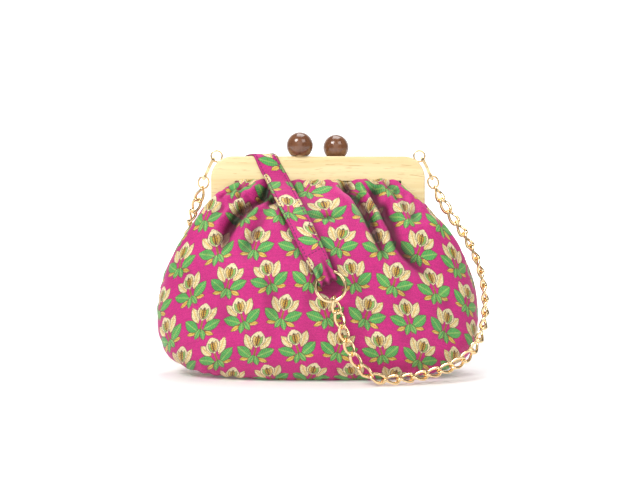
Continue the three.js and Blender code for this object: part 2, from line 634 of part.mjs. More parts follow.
// How far the cloth or the wood stands out from the middle plane under the band at one place.
function standsOut(side, x, z) {
  const ray = new THREE.Raycaster();
  const way = new THREE.Vector3(0, -side, 0);
  const found = STRAP_FEELERS.map((share) => {
    ray.set(new THREE.Vector3(x + share * STRAP_WIDTH, side * POUCH_DEPTH, z), way);
    const [hit] = ray.intersectObject(side < 0 ? frontPanel : backPanel);
    return hit ? side * hit.point.y : 0;
  });
  return Math.max(...found, z > LEG_FOOT ? JAW_OUTER : 0);
}

function strapPath() {
  const lie = STRAP_THICKNESS / 2 + STRAP_REST;
  const place = (p, side) => {
    const slope = Math.abs(standsOut(side, p.x, p.z + 4) - standsOut(side, p.x, p.z - 4)) / 8;
    const away = lie * Math.hypot(1, slope) + p.lift;
    return new THREE.Vector3(p.x, side * (standsOut(side, p.x, p.z) + away), p.z);
  };
  const corner = EDGE_ROUND + lie;
  const [edgeY, edgeZ] = [JAW_OUTER - EDGE_ROUND, FRAME_TOP - EDGE_ROUND];
  const [front, back] = [STRAP_FRONT[STRAP_FRONT.length - 1], STRAP_BACK[0]];
  const over = [-1, 1].flatMap((side) => {
    const bends = [0, 0.25, 0.5].map((turn) => {
      const angle = turn * Math.PI;
      return { y: side * (edgeY + corner * Math.cos(angle)), z: edgeZ + corner * Math.sin(angle) };
    });
    return side < 0 ? bends : bends.reverse();
  });
  const points = [...STRAP_FRONT.map((p) => place(p, -1))];
  over.forEach((p, i) => {
    const share = (i + 1) / (over.length + 1);
    points.push(new THREE.Vector3(front.x + (back.x - front.x) * share, p.y, p.z));
  });
  points.push(...STRAP_BACK.map((p) => place(p, 1)));
  points.push(...STRAP_FLOOR.map((p) => new THREE.Vector3(p.x, p.y, p.z)));
  return new THREE.CatmullRomCurve3(points, false, "centripetal");
}

const strapCurve = strapPath();
const strapLength = strapCurve.getLength();

// The way out from whatever is under the band: away from the pouch in front and behind, round the wooden
// edges and up over the bars, and up again where the band lies down.
function strapNormal(point) {
  const normal = new THREE.Vector3(0, Math.sign(point.y), 0);
  const low = point.y > 0 ? 1 - smooth(4, 24, point.z) : 0;
  normal.set(0, normal.y * (1 - low), low);
  if (point.z > FRAME_TOP - EDGE_ROUND) {
    const past = Math.max(Math.abs(point.y) - JAW_OUTER + EDGE_ROUND, 0);
    normal.set(0, Math.sign(point.y) * past, point.z - FRAME_TOP + EDGE_ROUND);
  }
  return normal.normalize();
}

// One end of the band, seen from its ring: where it turns, which way the ring lies, and its plane.
function strapEnd(front) {
  const point = strapCurve.getPointAt(front ? 0 : 1);
  const reach = strapCurve.getTangentAt(front ? 0 : 1).multiplyScalar(front ? -1 : 1);
  const normal = strapNormal(point);
  normal.addScaledVector(reach, -normal.dot(reach)).normalize();
  const beside = reach.clone().cross(normal);
  const centre = point.clone().addScaledVector(reach, RING_CENTRELINE);
  return { point, reach, normal, beside, centre };
}

// Away from its rings the band's sections are level, so that it bends square over the wooden edges.
function bandStation(distance, front) {
  const share = distance / strapLength;
  const at = front ? share : 1 - share;
  const point = strapCurve.getPointAt(at);
  const along = strapCurve.getTangentAt(at);
  const width = STRAP_FOLD_WIDTH + (STRAP_WIDTH - STRAP_FOLD_WIDTH) * smooth(2, 17, distance);
  const open = 1 - smooth(1, 13, distance);
  const normal = strapNormal(point);
  const level = smooth(17, 40, distance);
  return { point: point.addScaledVector(normal, open * FOLD_RADIUS), along, normal, width, open, level };
}

// The stations of one end from its turned-under tip to the top of its turn round the ring.
function foldStations(front) {
  const end = strapEnd(front);
  const under = [STRAP_TURNED_END, STRAP_TURNED_END * 0.6, STRAP_TURNED_END * 0.3].map((distance) => {
    const station = bandStation(distance, front);
    const closed = STRAP_THICKNESS + SEAM_GAP;
    station.point.addScaledVector(station.normal, -closed - station.open * (2 * FOLD_RADIUS - closed));
    station.normal.negate();
    station.along.multiplyScalar(front ? -1 : 1);
    return station;
  });
  const heart = end.point.clone().addScaledVector(end.reach, RING_SAG);
  const turn = [-0.5, -0.3, -0.1, 0.1, 0.3, 0.5].map((share) => {
    const [across, out] = [Math.sin(share * Math.PI), Math.cos(share * Math.PI)];
    const normal = end.normal.clone().multiplyScalar(across).addScaledVector(end.reach, out);
    const along = end.normal.clone().multiplyScalar(out).addScaledVector(end.reach, -across);
    const point = heart.clone().addScaledVector(normal, FOLD_RADIUS);
    return { point, along, normal, width: STRAP_FOLD_WIDTH };
  });
  return [...under, ...turn];
}

// The band is one strip: its turned-under front end, round the front ring, up, over the bars, down the
// back, round the back ring and in under itself again.
function strap() {
  const pieces = strapCurve.points.length - 1;
  const lengths = strapCurve.getLengths(pieces * 20);
  const main = Array.from({ length: pieces }, (_, i) => {
    const [start, stop] = [lengths[i * 20], lengths[(i + 1) * 20]];
    const steps = Math.ceil((stop - start) / STRAP_STEP);
    return Array.from({ length: steps }, (_, j) => start + ((stop - start) * j) / steps);
  });
  const middle = main
    .flat()
    .filter((done) => Math.min(done, strapLength - done) > 4)
    .map((done) => (done < strapLength / 2 ? bandStation(done, true) : bandStation(strapLength - done, false)));
  const backFold = foldStations(false).reverse();
  backFold.slice(0, 6).forEach((station) => station.along.negate());
  const stations = [...foldStations(true), ...middle, ...backFold];
  stations.slice(-3).forEach((station) => station.along.negate());
  const rings = stations.map((s) => {
    const beside = s.along.clone().cross(s.normal).normalize();
    const out = beside.clone().cross(s.along).normalize();
    beside.lerp(new THREE.Vector3(1 / beside.x, 0, 0), s.level ?? 0);
    const corner = (across, thick) =>
      s.point
        .clone()
        .addScaledVector(beside, (across * s.width) / 2)
        .addScaledVector(out, (thick * STRAP_THICKNESS) / 2);
    return [corner(-1, -1), corner(1, -1), corner(1, 1), corner(-1, 1)];
  });
  return named("strap_band", ringsSolid(rings, false), FABRIC);
}

function strapRing(name, end) {
  return named(name, ringGeometry(end.centre, end.reach, end.beside, RING_CENTRELINE, RING_WIRE / 2, 20, 5), GOLD);
}

// Where the last chain link bears in a ring, this far round it from the band.
function ringBearing(end, degrees) {
  const inner = RING_CENTRELINE - RING_WIRE / 2 - LINK_WIRE / 2 - SEAM_GAP;
  const angle = THREE.MathUtils.degToRad(degrees);
  const way = end.reach.clone().multiplyScalar(Math.cos(angle)).addScaledVector(end.beside, Math.sin(angle));
  return end.centre.clone().addScaledVector(way, inner);
}

// The screw eyes that the clasps hook on stand out of the back jaw's rounded corners.
function shankWay(side) {
  return new THREE.Vector3(side * Math.cos(EYE_SLANT), 0, Math.sin(EYE_SLANT));
}

function eyeCentre(side) {
  const x = side * (FRAME_WIDTH / 2 - OUTER_CORNER);
  const corner = new THREE.Vector3(x, JAW_INNER + JAW_THICKNESS / 2, FRAME_TOP - OUTER_CORNER);
  return corner.addScaledVector(shankWay(side), OUTER_CORNER + EYE_STANDOFF);
}

function shankGeometry(side, growth) {
  const radius = EYE_WIRE / 2 + growth;
  const length = EYE_STANDOFF - EYE_RADIUS + EYE_SHANK_DEPTH + growth;
  const middle = eyeCentre(side).addScaledVector(shankWay(side), -EYE_RADIUS - length / 2);
  const shank = new THREE.CylinderGeometry(radius, radius, length, 8).rotateX(Math.PI / 2);
  return shank.rotateY(side * (Math.PI / 2 - EYE_SLANT)).translate(middle.x, middle.y, middle.z);
}

function screwEye(name, side) {
  const [right, up] = [new THREE.Vector3(1, 0, 0), new THREE.Vector3(0, 0, 1)];
  const loop = ringGeometry(eyeCentre(side), right, up, EYE_RADIUS, EYE_WIRE / 2, 14, 5);
  return named(name, geometryFrom(solidFrom(loop).add(solidFrom(shankGeometry(side, 0)))), GOLD);
}

// A clasp is drawn flat, with its tail down and its lever to the right, and placed with its flat sides
// upright and its lever to the back.
function claspPlacement(side) {
  const up = new THREE.Vector3(-side * Math.sin(CLASP_LEAN), 0, Math.cos(CLASP_LEAN));
  const across = new THREE.Vector3(0, 1, 0);
  const seat = new THREE.Vector3(side * Math.cos(CLASP_SEAT), 0, -Math.sin(CLASP_SEAT));
  const hook = eyeCentre(side).addScaledVector(seat, EYE_RADIUS);
  hook.addScaledVector(up, -(CLASP_HOOK_INNER - EYE_WIRE / 2 - 3 * SEAM_GAP));
  return new THREE.Matrix4().makeBasis(across, up, across.clone().cross(up)).setPosition(hook);
}

function claspEye(side) {
  return new THREE.Vector3(0, -CLASP_LENGTH, 0).applyMatrix4(claspPlacement(side));
}

function flatPlate(shape, thickness) {
  const plate = new THREE.ExtrudeGeometry(shape, { depth: thickness, bevelEnabled: false, curveSegments: 6 });
  return plate.translate(0, 0, -thickness / 2);
}

const GATE_X = (CLASP_HOOK_INNER + CLASP_HOOK_OUTER) / 2;
const GATE_HALF_WIDTH = 0.75;

function claspBody(name, side) {
  const shoulder = -CLASP_GATE_DROP + 1.2;
  const waist = -CLASP_LENGTH + CLASP_EYE_OUTER + 1.2;
  const neck = Math.PI * 0.7;
  const outline = new THREE.Shape();
  outline.moveTo(CLASP_HOOK_INNER, 0);
  outline.lineTo(CLASP_HOOK_OUTER, 0);
  outline.absarc(0, 0, CLASP_HOOK_OUTER, 0, Math.PI, false);
  outline.lineTo(-CLASP_HOOK_OUTER, -CLASP_GATE_DROP);
  outline.lineTo(-1.6, waist);
  outline.absarc(0, -CLASP_LENGTH, CLASP_EYE_OUTER, neck, Math.PI * 3 - neck, false);
  outline.lineTo(1.6, waist);
  outline.lineTo(CLASP_HOOK_OUTER, -CLASP_GATE_DROP - 1.6);
  outline.lineTo(CLASP_HOOK_OUTER, shoulder);
  outline.lineTo(-CLASP_HOOK_INNER, shoulder);
  outline.absarc(0, 0, CLASP_HOOK_INNER, Math.PI, 0, true);
  const hole = new THREE.Path();
  hole.absarc(0, -CLASP_LENGTH, CLASP_EYE_HOLE, 0, Math.PI * 2, true);
  outline.holes.push(hole);
  const slot = new THREE.BoxGeometry(5.2, 4.4, LEVER_SLOT).translate(GATE_X + 0.4, -CLASP_GATE_DROP, 0);
  const pin = new THREE.CylinderGeometry(LEVER_PIVOT_RADIUS, LEVER_PIVOT_RADIUS, CLASP_THICKNESS - 0.4, 8);
  pin.rotateX(Math.PI / 2).translate(GATE_X, -CLASP_GATE_DROP, 0);
  const body = solidFrom(flatPlate(outline, CLASP_THICKNESS)).subtract(solidFrom(slot)).add(solidFrom(pin));
  return named(name, geometryFrom(body).applyMatrix4(claspPlacement(side)), GOLD);
}

// The lever closes the hook's mouth, and turns on its pin into the hook.
function claspLever(name, side) {
  const foot = -CLASP_GATE_DROP;
  const heel = CLASP_HOOK_OUTER - 0.2;
  const outline = new THREE.Shape();
  outline.moveTo(GATE_X + GATE_HALF_WIDTH, -SEAM_GAP);
  outline.lineTo(GATE_X - GATE_HALF_WIDTH, -SEAM_GAP);
  outline.lineTo(GATE_X - GATE_HALF_WIDTH - 0.4, foot);
  outline.absarc(GATE_X, foot, GATE_HALF_WIDTH + 0.4, Math.PI, Math.PI * 2, false);
  outline.lineTo(heel + 1.9, foot + 1.2);
  outline.lineTo(heel + 2, foot + 2.3);
  outline.lineTo(GATE_X + GATE_HALF_WIDTH, foot + 2.6);
  const hole = new THREE.Path();
  hole.absarc(GATE_X, foot, LEVER_PIVOT_RADIUS + LEVER_PIVOT_GAP, 0, Math.PI * 2, true);
  outline.holes.push(hole);
  const plate = flatPlate(outline, LEVER_THICKNESS);
  return named(name, plate.applyMatrix4(claspPlacement(side)), GOLD);
}

const frame = new THREE.Group();
frame.name = "frame";
frame.add(jaw("front_jaw", -1), jaw("back_jaw", 1), hinge("hinge_left", -1), hinge("hinge_right", 1));
frame.add(bead("bead_front", -1), bead("bead_back", 1));
frame.add(named("bead_pin_front", beadPinGeometry(-1, 0), GOLD));
frame.add(named("bead_pin_back", beadPinGeometry(1, 0), GOLD));
frame.add(screwEye("eye_left", -1), screwEye("eye_right", 1));

const frontEnd = strapEnd(true);
const backEnd = strapEnd(false);
const carrying = new THREE.Group();
carrying.name = "carrying";
carrying.add(strap(), strapRing("ring_front", frontEnd), strapRing("ring_back", backEnd));
carrying.add(claspBody("clasp_left", -1), claspBody("clasp_right", 1));
carrying.add(claspLever("lever_left", -1), claspLever("lever_right", 1));
const frontBearing = ringBearing(frontEnd, 10);
const backBearing = ringBearing(backEnd, -15);
carrying.add(chain("chain_right", RIGHT_ROUTE, claspEye(1), frontBearing, frontEnd.normal, false));
carrying.add(chain("chain_left", LEFT_ROUTE, claspEye(-1), backBearing, backEnd.normal, true));

const bag = new THREE.Group();
bag.name = "shoulder_bag";
bag.add(frontPanel, backPanel, basePanel(), frame, carrying);

export default bag;
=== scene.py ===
"""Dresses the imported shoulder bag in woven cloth, pale wood, lacquered beads and gold fittings."""

import logging
import math
from collections.abc import Callable, Iterable, Sequence
from dataclasses import dataclass, field, replace
from enum import Enum, IntEnum

import bmesh
import bpy
import numpy as np
from mathutils import Euler, Matrix, Vector
from mathutils.bvhtree import BVHTree


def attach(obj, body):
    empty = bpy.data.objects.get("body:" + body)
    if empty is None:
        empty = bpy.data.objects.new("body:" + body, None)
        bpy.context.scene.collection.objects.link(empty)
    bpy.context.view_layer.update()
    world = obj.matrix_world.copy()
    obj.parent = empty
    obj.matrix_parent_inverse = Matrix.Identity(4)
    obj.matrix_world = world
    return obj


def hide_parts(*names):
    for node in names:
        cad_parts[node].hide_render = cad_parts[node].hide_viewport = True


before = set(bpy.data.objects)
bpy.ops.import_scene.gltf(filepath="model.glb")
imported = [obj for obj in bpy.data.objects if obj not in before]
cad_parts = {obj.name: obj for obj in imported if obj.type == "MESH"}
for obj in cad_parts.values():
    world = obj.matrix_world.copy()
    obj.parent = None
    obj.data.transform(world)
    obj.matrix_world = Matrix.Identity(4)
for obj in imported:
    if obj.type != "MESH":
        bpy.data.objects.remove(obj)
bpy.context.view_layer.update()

logging.basicConfig(level=logging.INFO, format="%(name)s: %(message)s")
LOG = logging.getLogger("bag")

MM = 0.001
BODY = "bag"
UV_UNIT_MM = 100.0
UV_MAP = "cloth"
# The point layer that holds painted shade for the cloth.
SHADE_PAINT_LAYER = "fold"
MERGE_DISTANCE = 1e-6
BACK_CUT = 431.0  # how far from the front panel's place on the cloth the back panel's is
STRAP_CUT = (907.0, 333.0)

# Sizes that the cloth, the wood and the strap share, in millimetres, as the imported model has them.
POUCH_WIDTH = 285.0
POUCH_DEPTH = 110.0
POUCH_HEIGHT = 172.0
WALL = 2.0
FRAME_WIDTH = 188.0
FRAME_HEIGHT = 62.0
BAR_HEIGHT = 21.5
LEG_WIDTH = 21.0
JAW_THICKNESS = 10.0
SEAM_GAP = 0.3
OUTER_CORNER = 19.0
INNER_CORNER = 8.0
FRAME_TOP = POUCH_HEIGHT + BAR_HEIGHT
LEG_FOOT = FRAME_TOP - FRAME_HEIGHT
JAW_INNER = SEAM_GAP / 2
JAW_OUTER = JAW_INNER + JAW_THICKNESS
RIM_SEAM_HEIGHT = LEG_FOOT - 4.52
EDGE_ROUND = 1.4
HINGE_X = 83.5
BEAD_RADIUS = 11.2
BEAD_FOOT_RADIUS = 6.6
BEAD_OFFSET = 16.0
BEAD_Y = JAW_INNER + JAW_THICKNESS / 2
EYE_RADIUS = 4.9
EYE_WIRE = 1.5
EYE_STANDOFF = 6.2
EYE_SLANT = math.radians(52)
CLASP_LEAN = math.radians(27)
CLASP_SEAT = math.radians(50)
CLASP_LENGTH = 15.5
CLASP_HOOK_INNER = 2.7
STRAP_WIDTH = 19.0
STRAP_FOLD_WIDTH = 12.0
STRAP_THICKNESS = 1.6
STRAP_TURNED_END = 17.0
STRAP_REST = 0.4
RING_WIRE = 2.6
RING_CENTRELINE = 12.2
RING_SAG = STRAP_FOLD_WIDTH**2 / (8 * RING_CENTRELINE)
FOLD_RADIUS = RING_WIRE / 2 + SEAM_GAP + STRAP_THICKNESS / 2 + 0.2
LINK_WIDTH = 11.0
LINK_PITCH = 12.0
LINK_WIRE = 2.0
LINK_TWIST = math.radians(45)
JUMP_LENGTH = 12.5
JUMP_WIDTH = 10.8
JUMP_WIRE = 1.6

Object = bpy.types.Object
Material = bpy.types.Material
NodeTree = bpy.types.NodeTree
Node = bpy.types.Node
Socket = bpy.types.NodeSocket
Value = Socket | float | tuple[float, ...]
Triple = tuple[float, float, float]


class Side(IntEnum):
    """The front or the back of the bag, with the sign of its Y."""

    FRONT = -1
    BACK = 1


class Hand(IntEnum):
    """The left or the right of the bag, with the sign of its X."""

    LEFT = -1
    RIGHT = 1


class Element(Enum):
    """A kind of mesh element, with the name of its list."""

    VERT = "verts"
    EDGE = "edges"
    FACE = "faces"


# ---------------------------------------------------------------- shader node groups


class Graph:
    """A node tree with short ways to add and join nodes."""

    def __init__(self, tree: NodeTree) -> None:
        """Wraps a tree."""
        self.tree = tree

    def put(self, value: Value, socket: Socket) -> None:
        """Feeds a socket with another socket or with a plain value.

        Args:
            value: The output to link, or the number, vector or colour to set.
            socket: The input that takes it.
        """
        if isinstance(value, Socket):
            self.tree.links.new(value, socket)
        elif socket.type == "RGBA" and len(value) == 3:
            socket.default_value = (*value, 1.0)
        else:
            socket.default_value = value

    def node(self, kind: str, inputs: dict[str | int, Value] | None = None, **options: object) -> Node:
        """Adds a node.

        Args:
            kind: The node's type name, without its ShaderNode prefix.
            inputs: What feeds its sockets, by name or number.
            options: The node's own settings.

        Returns:
            The new node.
        """
        made = self.tree.nodes.new("ShaderNode" + kind)
        for key, option in options.items():
            setattr(made, key, option)
        self.feed(made, inputs or {})
        return made

    def feed(self, node: Node, inputs: dict[str | int, Value]) -> None:
        """Feeds several of a node's sockets, by name or number."""
        for key, value in inputs.items():
            self.put(value, node.inputs[key])

    def math(self, operation: str, *values: Value, clamp: bool = False) -> Socket:
        """Adds a Math node and returns its result."""
        made = self.node("Math", dict(enumerate(values)), operation=operation, use_clamp=clamp)
        return made.outputs[0]

    def plus(self, first: Value, second: Value, clamp: bool = False) -> Socket:
        """Adds two numbers."""
        return self.math("ADD", first, second, clamp=clamp)

    def minus(self, first: Value, second: Value) -> Socket:
        """Takes the second number from the first."""
        return self.math("SUBTRACT", first, second)

    def times(self, first: Value, second: Value) -> Socket:
        """Multiplies two numbers."""
        return self.math("MULTIPLY", first, second)

    def scaled(self, vector: Value, factors: Value) -> Socket:
        """Multiplies a vector part by part."""
        return self.vector("MULTIPLY", vector, factors)

    def vector(self, operation: str, *values: Value) -> Socket:
        """Adds a Vector Math node and returns its vector."""
        return self.node("VectorMath", dict(enumerate(values)), operation=operation).outputs[0]

    def mix(self, factor: Value, first: Value, second: Value, blend: str = "MIX") -> Socket:
        """Mixes two colours.

        Args:
            factor: How much of the second shows.
            first: The colour at 0.
            second: The colour at 1.
            blend: The blend type.

        Returns:
            The mixed colour's socket.
        """
        made = self.node("Mix", data_type="RGBA", blend_type=blend, clamp_factor=True)
        self.feed(made, {0: factor, 6: first, 7: second})
        return made.outputs[2]

    def ramp(self, value: Value, low: float, high: float, start: float = 0.0, stop: float = 1.0) -> Socket:
        """Maps a range smoothly onto another."""
        sockets = {0: value, 1: low, 2: high, 3: start, 4: stop}
        return self.node("MapRange", sockets, interpolation_type="SMOOTHSTEP").outputs[0]

    def noise(self, vector: Value, scale: float, detail: float = 2.0, roughness: float = 0.5) -> Socket:
        """Adds a noise texture."""
        sockets = {"Vector": vector, "Scale": scale, "Detail": detail, "Roughness": roughness}
        return self.node("TexNoise", sockets).outputs[0]

    def group(self, tree: NodeTree, inputs: dict[str, Value]) -> Node:
        """Places a node group.

        Args:
            tree: The group.
            inputs: What feeds its sockets, by name.

        Returns:
            The group's node.
        """
        made = self.tree.nodes.new("ShaderNodeGroup")
        made.node_tree = tree
        self.feed(made, inputs)
        return made

    def bump(
        self, height: Socket, strength: float, distance_mm: float, normal: Socket | None = None
    ) -> Socket:
        """Adds a Bump node.

        Args:
            height: What raises the surface.
            strength: How strongly it does.
            distance_mm: How far.
            normal: The normal to start from, if it isn't the surface's own.

        Returns:
            The bumped normal.
        """
        inputs = {"Height": height, "Strength": strength, "Distance": distance_mm * MM}
        if normal is not None:
            inputs["Normal"] = normal
        return self.node("Bump", inputs).outputs[0]


@dataclass(frozen=True)
class GroupSpec:
    """The sockets of a shader node group, as names with their socket types."""

    name: str
    inputs: tuple[tuple[str, str, object], ...]
    outputs: tuple[tuple[str, str], ...]

    def build(self, fill: Callable[[Graph, Node, Node], None]) -> NodeTree:
        """Makes the group once.

        Args:
            fill: Adds the group's nodes between its input node and its output node.

        Returns:
            The group's tree.
        """
        found = bpy.data.node_groups.get(self.name)
        if found:
            return found
        tree = bpy.data.node_groups.new(self.name, "ShaderNodeTree")
        for name, kind, default in self.inputs:
            socket = tree.interface.new_socket(name, in_out="INPUT", socket_type="NodeSocket" + kind)
            if default is not None:
                socket.default_value = default
        for name, kind in self.outputs:
            tree.interface.new_socket(name, in_out="OUTPUT", socket_type="NodeSocket" + kind)
        fill(Graph(tree), tree.nodes.new("NodeGroupInput"), tree.nodes.new("NodeGroupOutput"))
        return tree


def leaf_shape() -> NodeTree:
    """Makes the group that measures how far a point is outside a pointed leaf.

    Returns:
        The group's tree. Its distance is in millimetres, below 0 inside.
    """
    spec = GroupSpec(
        "leaf shape",
        (
            ("Point", "Vector", None),
            ("Centre", "Vector", None),
            ("Angle", "Float", 0.0),
            ("Half Length", "Float", 5.0),
            ("Half Width", "Float", 2.0),
        ),
        (("Distance", "Float"), ("Along", "Float"), ("Across", "Float")),
    )

    def fill(graph: Graph, source: Node, result: Node) -> None:
        """Adds the group's nodes.

        Args:
            graph: The group's nodes.
            source: Its input node.
            result: Its output node.
        """
        offset = graph.vector("SUBTRACT", source.outputs["Point"], source.outputs["Centre"])
        back = graph.times(source.outputs["Angle"], -1.0)
        turned = graph.node("VectorRotate", {"Vector": offset, "Angle": back}, rotation_type="Z_AXIS")
        parts = graph.node("SeparateXYZ", {0: turned.outputs[0]})
        share = graph.math("DIVIDE", parts.outputs[0], source.outputs["Half Length"])
        room = graph.minus(1.0, graph.times(share, share))
        edge = graph.times(room, source.outputs["Half Width"])
        across = graph.math("ABSOLUTE", parts.outputs[1])
        graph.put(graph.minus(across, edge), result.inputs["Distance"])
        graph.put(parts.outputs[0], result.inputs["Along"])
        graph.put(across, result.inputs["Across"])

    return spec.build(fill)


@dataclass(frozen=True)
class Leaf:
    """One pointed shape of the sprig, in millimetres and degrees, and the colour that fills it."""

    x: float
    y: float
    turn: float
    half_length: float
    half_width: float
    colour: Triple
    vein: Triple | None = None


@dataclass(frozen=True)
class SprigPrint:
    """A woven all-over pattern of small budding sprigs on a plain ground."""

    ground: Triple = (0.56, 0.020, 0.20)
    outline: Triple = (0.10, 0.035, 0.03)
    stem: Triple = (0.30, 0.15, 0.03)
    green: Triple = (0.05, 0.36, 0.085)
    lime: Triple = (0.26, 0.50, 0.12)
    cream: Triple = (0.80, 0.70, 0.42)
    gold: Triple = (0.62, 0.36, 0.03)
    straw: Triple = (0.72, 0.50, 0.16)
    tile_width: float = 35.0
    tile_height: float = 30.0
    thread: float = 0.42
    lean: float = 0.22
    rib_rate: float = 4.2
    rim_width: float = 0.55

    def leaves(self) -> tuple[Leaf, ...]:
        """Lists the sprig's shapes from the lowest layer up.

        Returns:
            The leaves, buds and seeds.
        """
        return (
            Leaf(17.5, 15.0, 90, 3.6, 1.7, self.straw, self.gold),
            Leaf(-7.6, -9.4, 196, 4.6, 1.9, self.straw, self.gold),
            Leaf(7.8, -9.0, -14, 4.4, 1.8, self.straw, self.gold),
            Leaf(-9.0, -3.6, 148, 8.0, 4.2, self.green, self.lime),
            Leaf(9.2, -2.0, 32, 7.8, 4.1, self.green, self.lime),
            Leaf(-7.2, 5.4, 122, 7.4, 3.5, self.cream, self.straw),
            Leaf(7.4, 6.4, 60, 6.8, 3.3, self.cream, self.straw),
            Leaf(-2.2, -9.8, -112, 4.8, 2.3, self.lime, self.green),
            Leaf(2.6, -10.2, -68, 4.8, 2.3, self.green, self.lime),
            Leaf(0.3, 8.6, 88, 7.4, 6.0, self.cream, None),
            Leaf(-1.9, 7.0, 106, 4.4, 1.7, self.straw, None),
            Leaf(2.4, 7.0, 74, 4.4, 1.7, self.lime, None),
            Leaf(0.3, 7.6, 90, 4.4, 1.8, self.gold, self.outline),
        )

    def build(self) -> NodeTree:
        """Makes the pattern's node group.

        Returns:
            The group's tree: colour, the motif's mask and the thread's height from a place in millimetres.
        """
        spec = GroupSpec(
            "woven sprigs",
            (("Place", "Vector", None), ("Wear", "Float", 0.0)),
            (("Color", "Color"), ("Motif", "Float"), ("Height", "Float")),
        )
        return spec.build(self._fill)

    def _fill(self, graph: Graph, source: Node, result: Node) -> None:
        """Adds the pattern's nodes.

        Args:
            graph: The group's nodes.
            source: Its input node.
            result: Its output node.
        """
        place = source.outputs["Place"]
        step = graph.vector("DIVIDE", place, (self.thread, self.thread, 1.0))
        thread = graph.scaled(graph.vector("FLOOR", step), (self.thread, self.thread, 0.0))
        parts = graph.node("SeparateXYZ", {0: thread})
        row = graph.math("FLOOR", graph.math("DIVIDE", parts.outputs[1], self.tile_height))
        shift = graph.times(row, self.tile_width / 3)
        along = graph.plus(parts.outputs[0], shift)
        column = graph.math("FLOOR", graph.math("DIVIDE", along, self.tile_width))
        x_start = graph.times(graph.plus(column, 0.5), self.tile_width)
        x = graph.minus(along, x_start)
        y_start = graph.times(graph.plus(row, 0.5), self.tile_height)
        y = graph.minus(parts.outputs[1], y_start)
        odd = graph.math("MODULO", graph.math("ABSOLUTE", graph.plus(row, column)), 2.0)
        flip = graph.minus(1.0, graph.times(odd, 2.0))
        point = graph.node("CombineXYZ", {0: graph.times(x, flip), 1: y}).outputs[0]
        turned = graph.node("VectorRotate", {"Vector": point, "Angle": self.lean}, rotation_type="Z_AXIS")
        lean = turned.outputs[0]
        stem = {"Centre": (0.0, -3.0, 0.0), "Angle": 1.5, "Half Length": 13.0, "Half Width": 0.85}
        stalk = graph.group(leaf_shape(), {"Point": lean, **stem})
        motif = graph.math("LESS_THAN", stalk.outputs["Distance"], 0.0)
        colour = graph.mix(motif, self.ground, self.stem)
        for leaf in self.leaves():
            sockets = {
                "Point": lean,
                "Centre": (leaf.x, leaf.y, 0.0),
                "Angle": math.radians(leaf.turn),
                "Half Length": leaf.half_length,
                "Half Width": leaf.half_width,
            }
            shape = graph.group(leaf_shape(), sockets)
            rim = graph.math("LESS_THAN", shape.outputs["Distance"], self.rim_width)
            body = graph.math("LESS_THAN", shape.outputs["Distance"], 0.0)
            colour = graph.mix(graph.times(rim, 0.85), colour, self.outline)
            colour = graph.mix(body, colour, leaf.colour)
            if leaf.vein:
                vein = graph.math("LESS_THAN", shape.outputs["Across"], 0.5)
                wave = graph.math("SINE", graph.times(shape.outputs["Along"], self.rib_rate))
                rib = graph.math("GREATER_THAN", wave, 0.55)
                marks = graph.math("MAXIMUM", vein, graph.times(rib, 0.6))
                colour = graph.mix(graph.times(marks, body), colour, leaf.vein)
            motif = graph.math("MAXIMUM", motif, rim)
        graph.put(self._shade(graph, colour, motif, thread, source), result.inputs["Color"])
        graph.put(motif, result.inputs["Motif"])
        graph.put(self._relief(graph, step, motif), result.inputs["Height"])

    def _shade(self, graph: Graph, colour: Socket, motif: Socket, thread: Socket, source: Node) -> Socket:
        """Varies the colour from thread to thread and fades it where it is worn.

        Args:
            graph: The group's nodes.
            colour: The pattern's plain colour.
            motif: Where the sprigs are.
            thread: The place, in steps of one thread.
            source: The group's input node.

        Returns:
            The shaded colour.
        """
        speck = graph.node("TexWhiteNoise", {"Vector": thread}, noise_dimensions="3D").outputs[0]
        slub = graph.noise(graph.scaled(source.outputs["Place"], (0.06, 0.9, 1.0)), 1.0, 3.0, 0.6)
        fade = graph.noise(source.outputs["Place"], 0.035, 2.0)
        other = graph.vector("ADD", thread, (7.3, 1.9, 0.0))
        fleck = graph.node("TexWhiteNoise", {"Vector": other}, noise_dimensions="3D").outputs[0]
        dark = graph.times(graph.math("GREATER_THAN", fleck, 0.86), graph.times(motif, 0.5))
        colour = graph.mix(dark, colour, (0.20, 0.13, 0.03))
        light = graph.ramp(speck, 0.0, 1.0, 0.82, 1.14)
        light = graph.plus(light, graph.ramp(slub, 0.3, 0.7, -0.07, 0.07))
        light = graph.plus(light, graph.ramp(fade, 0.3, 0.7, -0.05, 0.05))
        grey = graph.node("CombineXYZ", {0: light, 1: light, 2: light}).outputs[0]
        shaded = graph.scaled(colour, grey)
        worn = graph.times(source.outputs["Wear"], 0.3)
        return graph.mix(worn, shaded, (0.80, 0.22, 0.42))

    def _relief(self, graph: Graph, step: Socket, motif: Socket) -> Socket:
        """Raises the threads and the sprigs.

        Args:
            graph: The group's nodes.
            step: The place, counted in threads.
            motif: Where the sprigs are.

        Returns:
            The height, of about 1.
        """
        parts = graph.node("SeparateXYZ", {0: step})
        warp = graph.math("SINE", graph.times(parts.outputs[0], math.tau))
        weft = graph.math("SINE", graph.times(parts.outputs[1], math.tau))
        threads = graph.times(graph.plus(warp, weft), 0.25)
        return graph.plus(threads, graph.times(motif, 0.8))


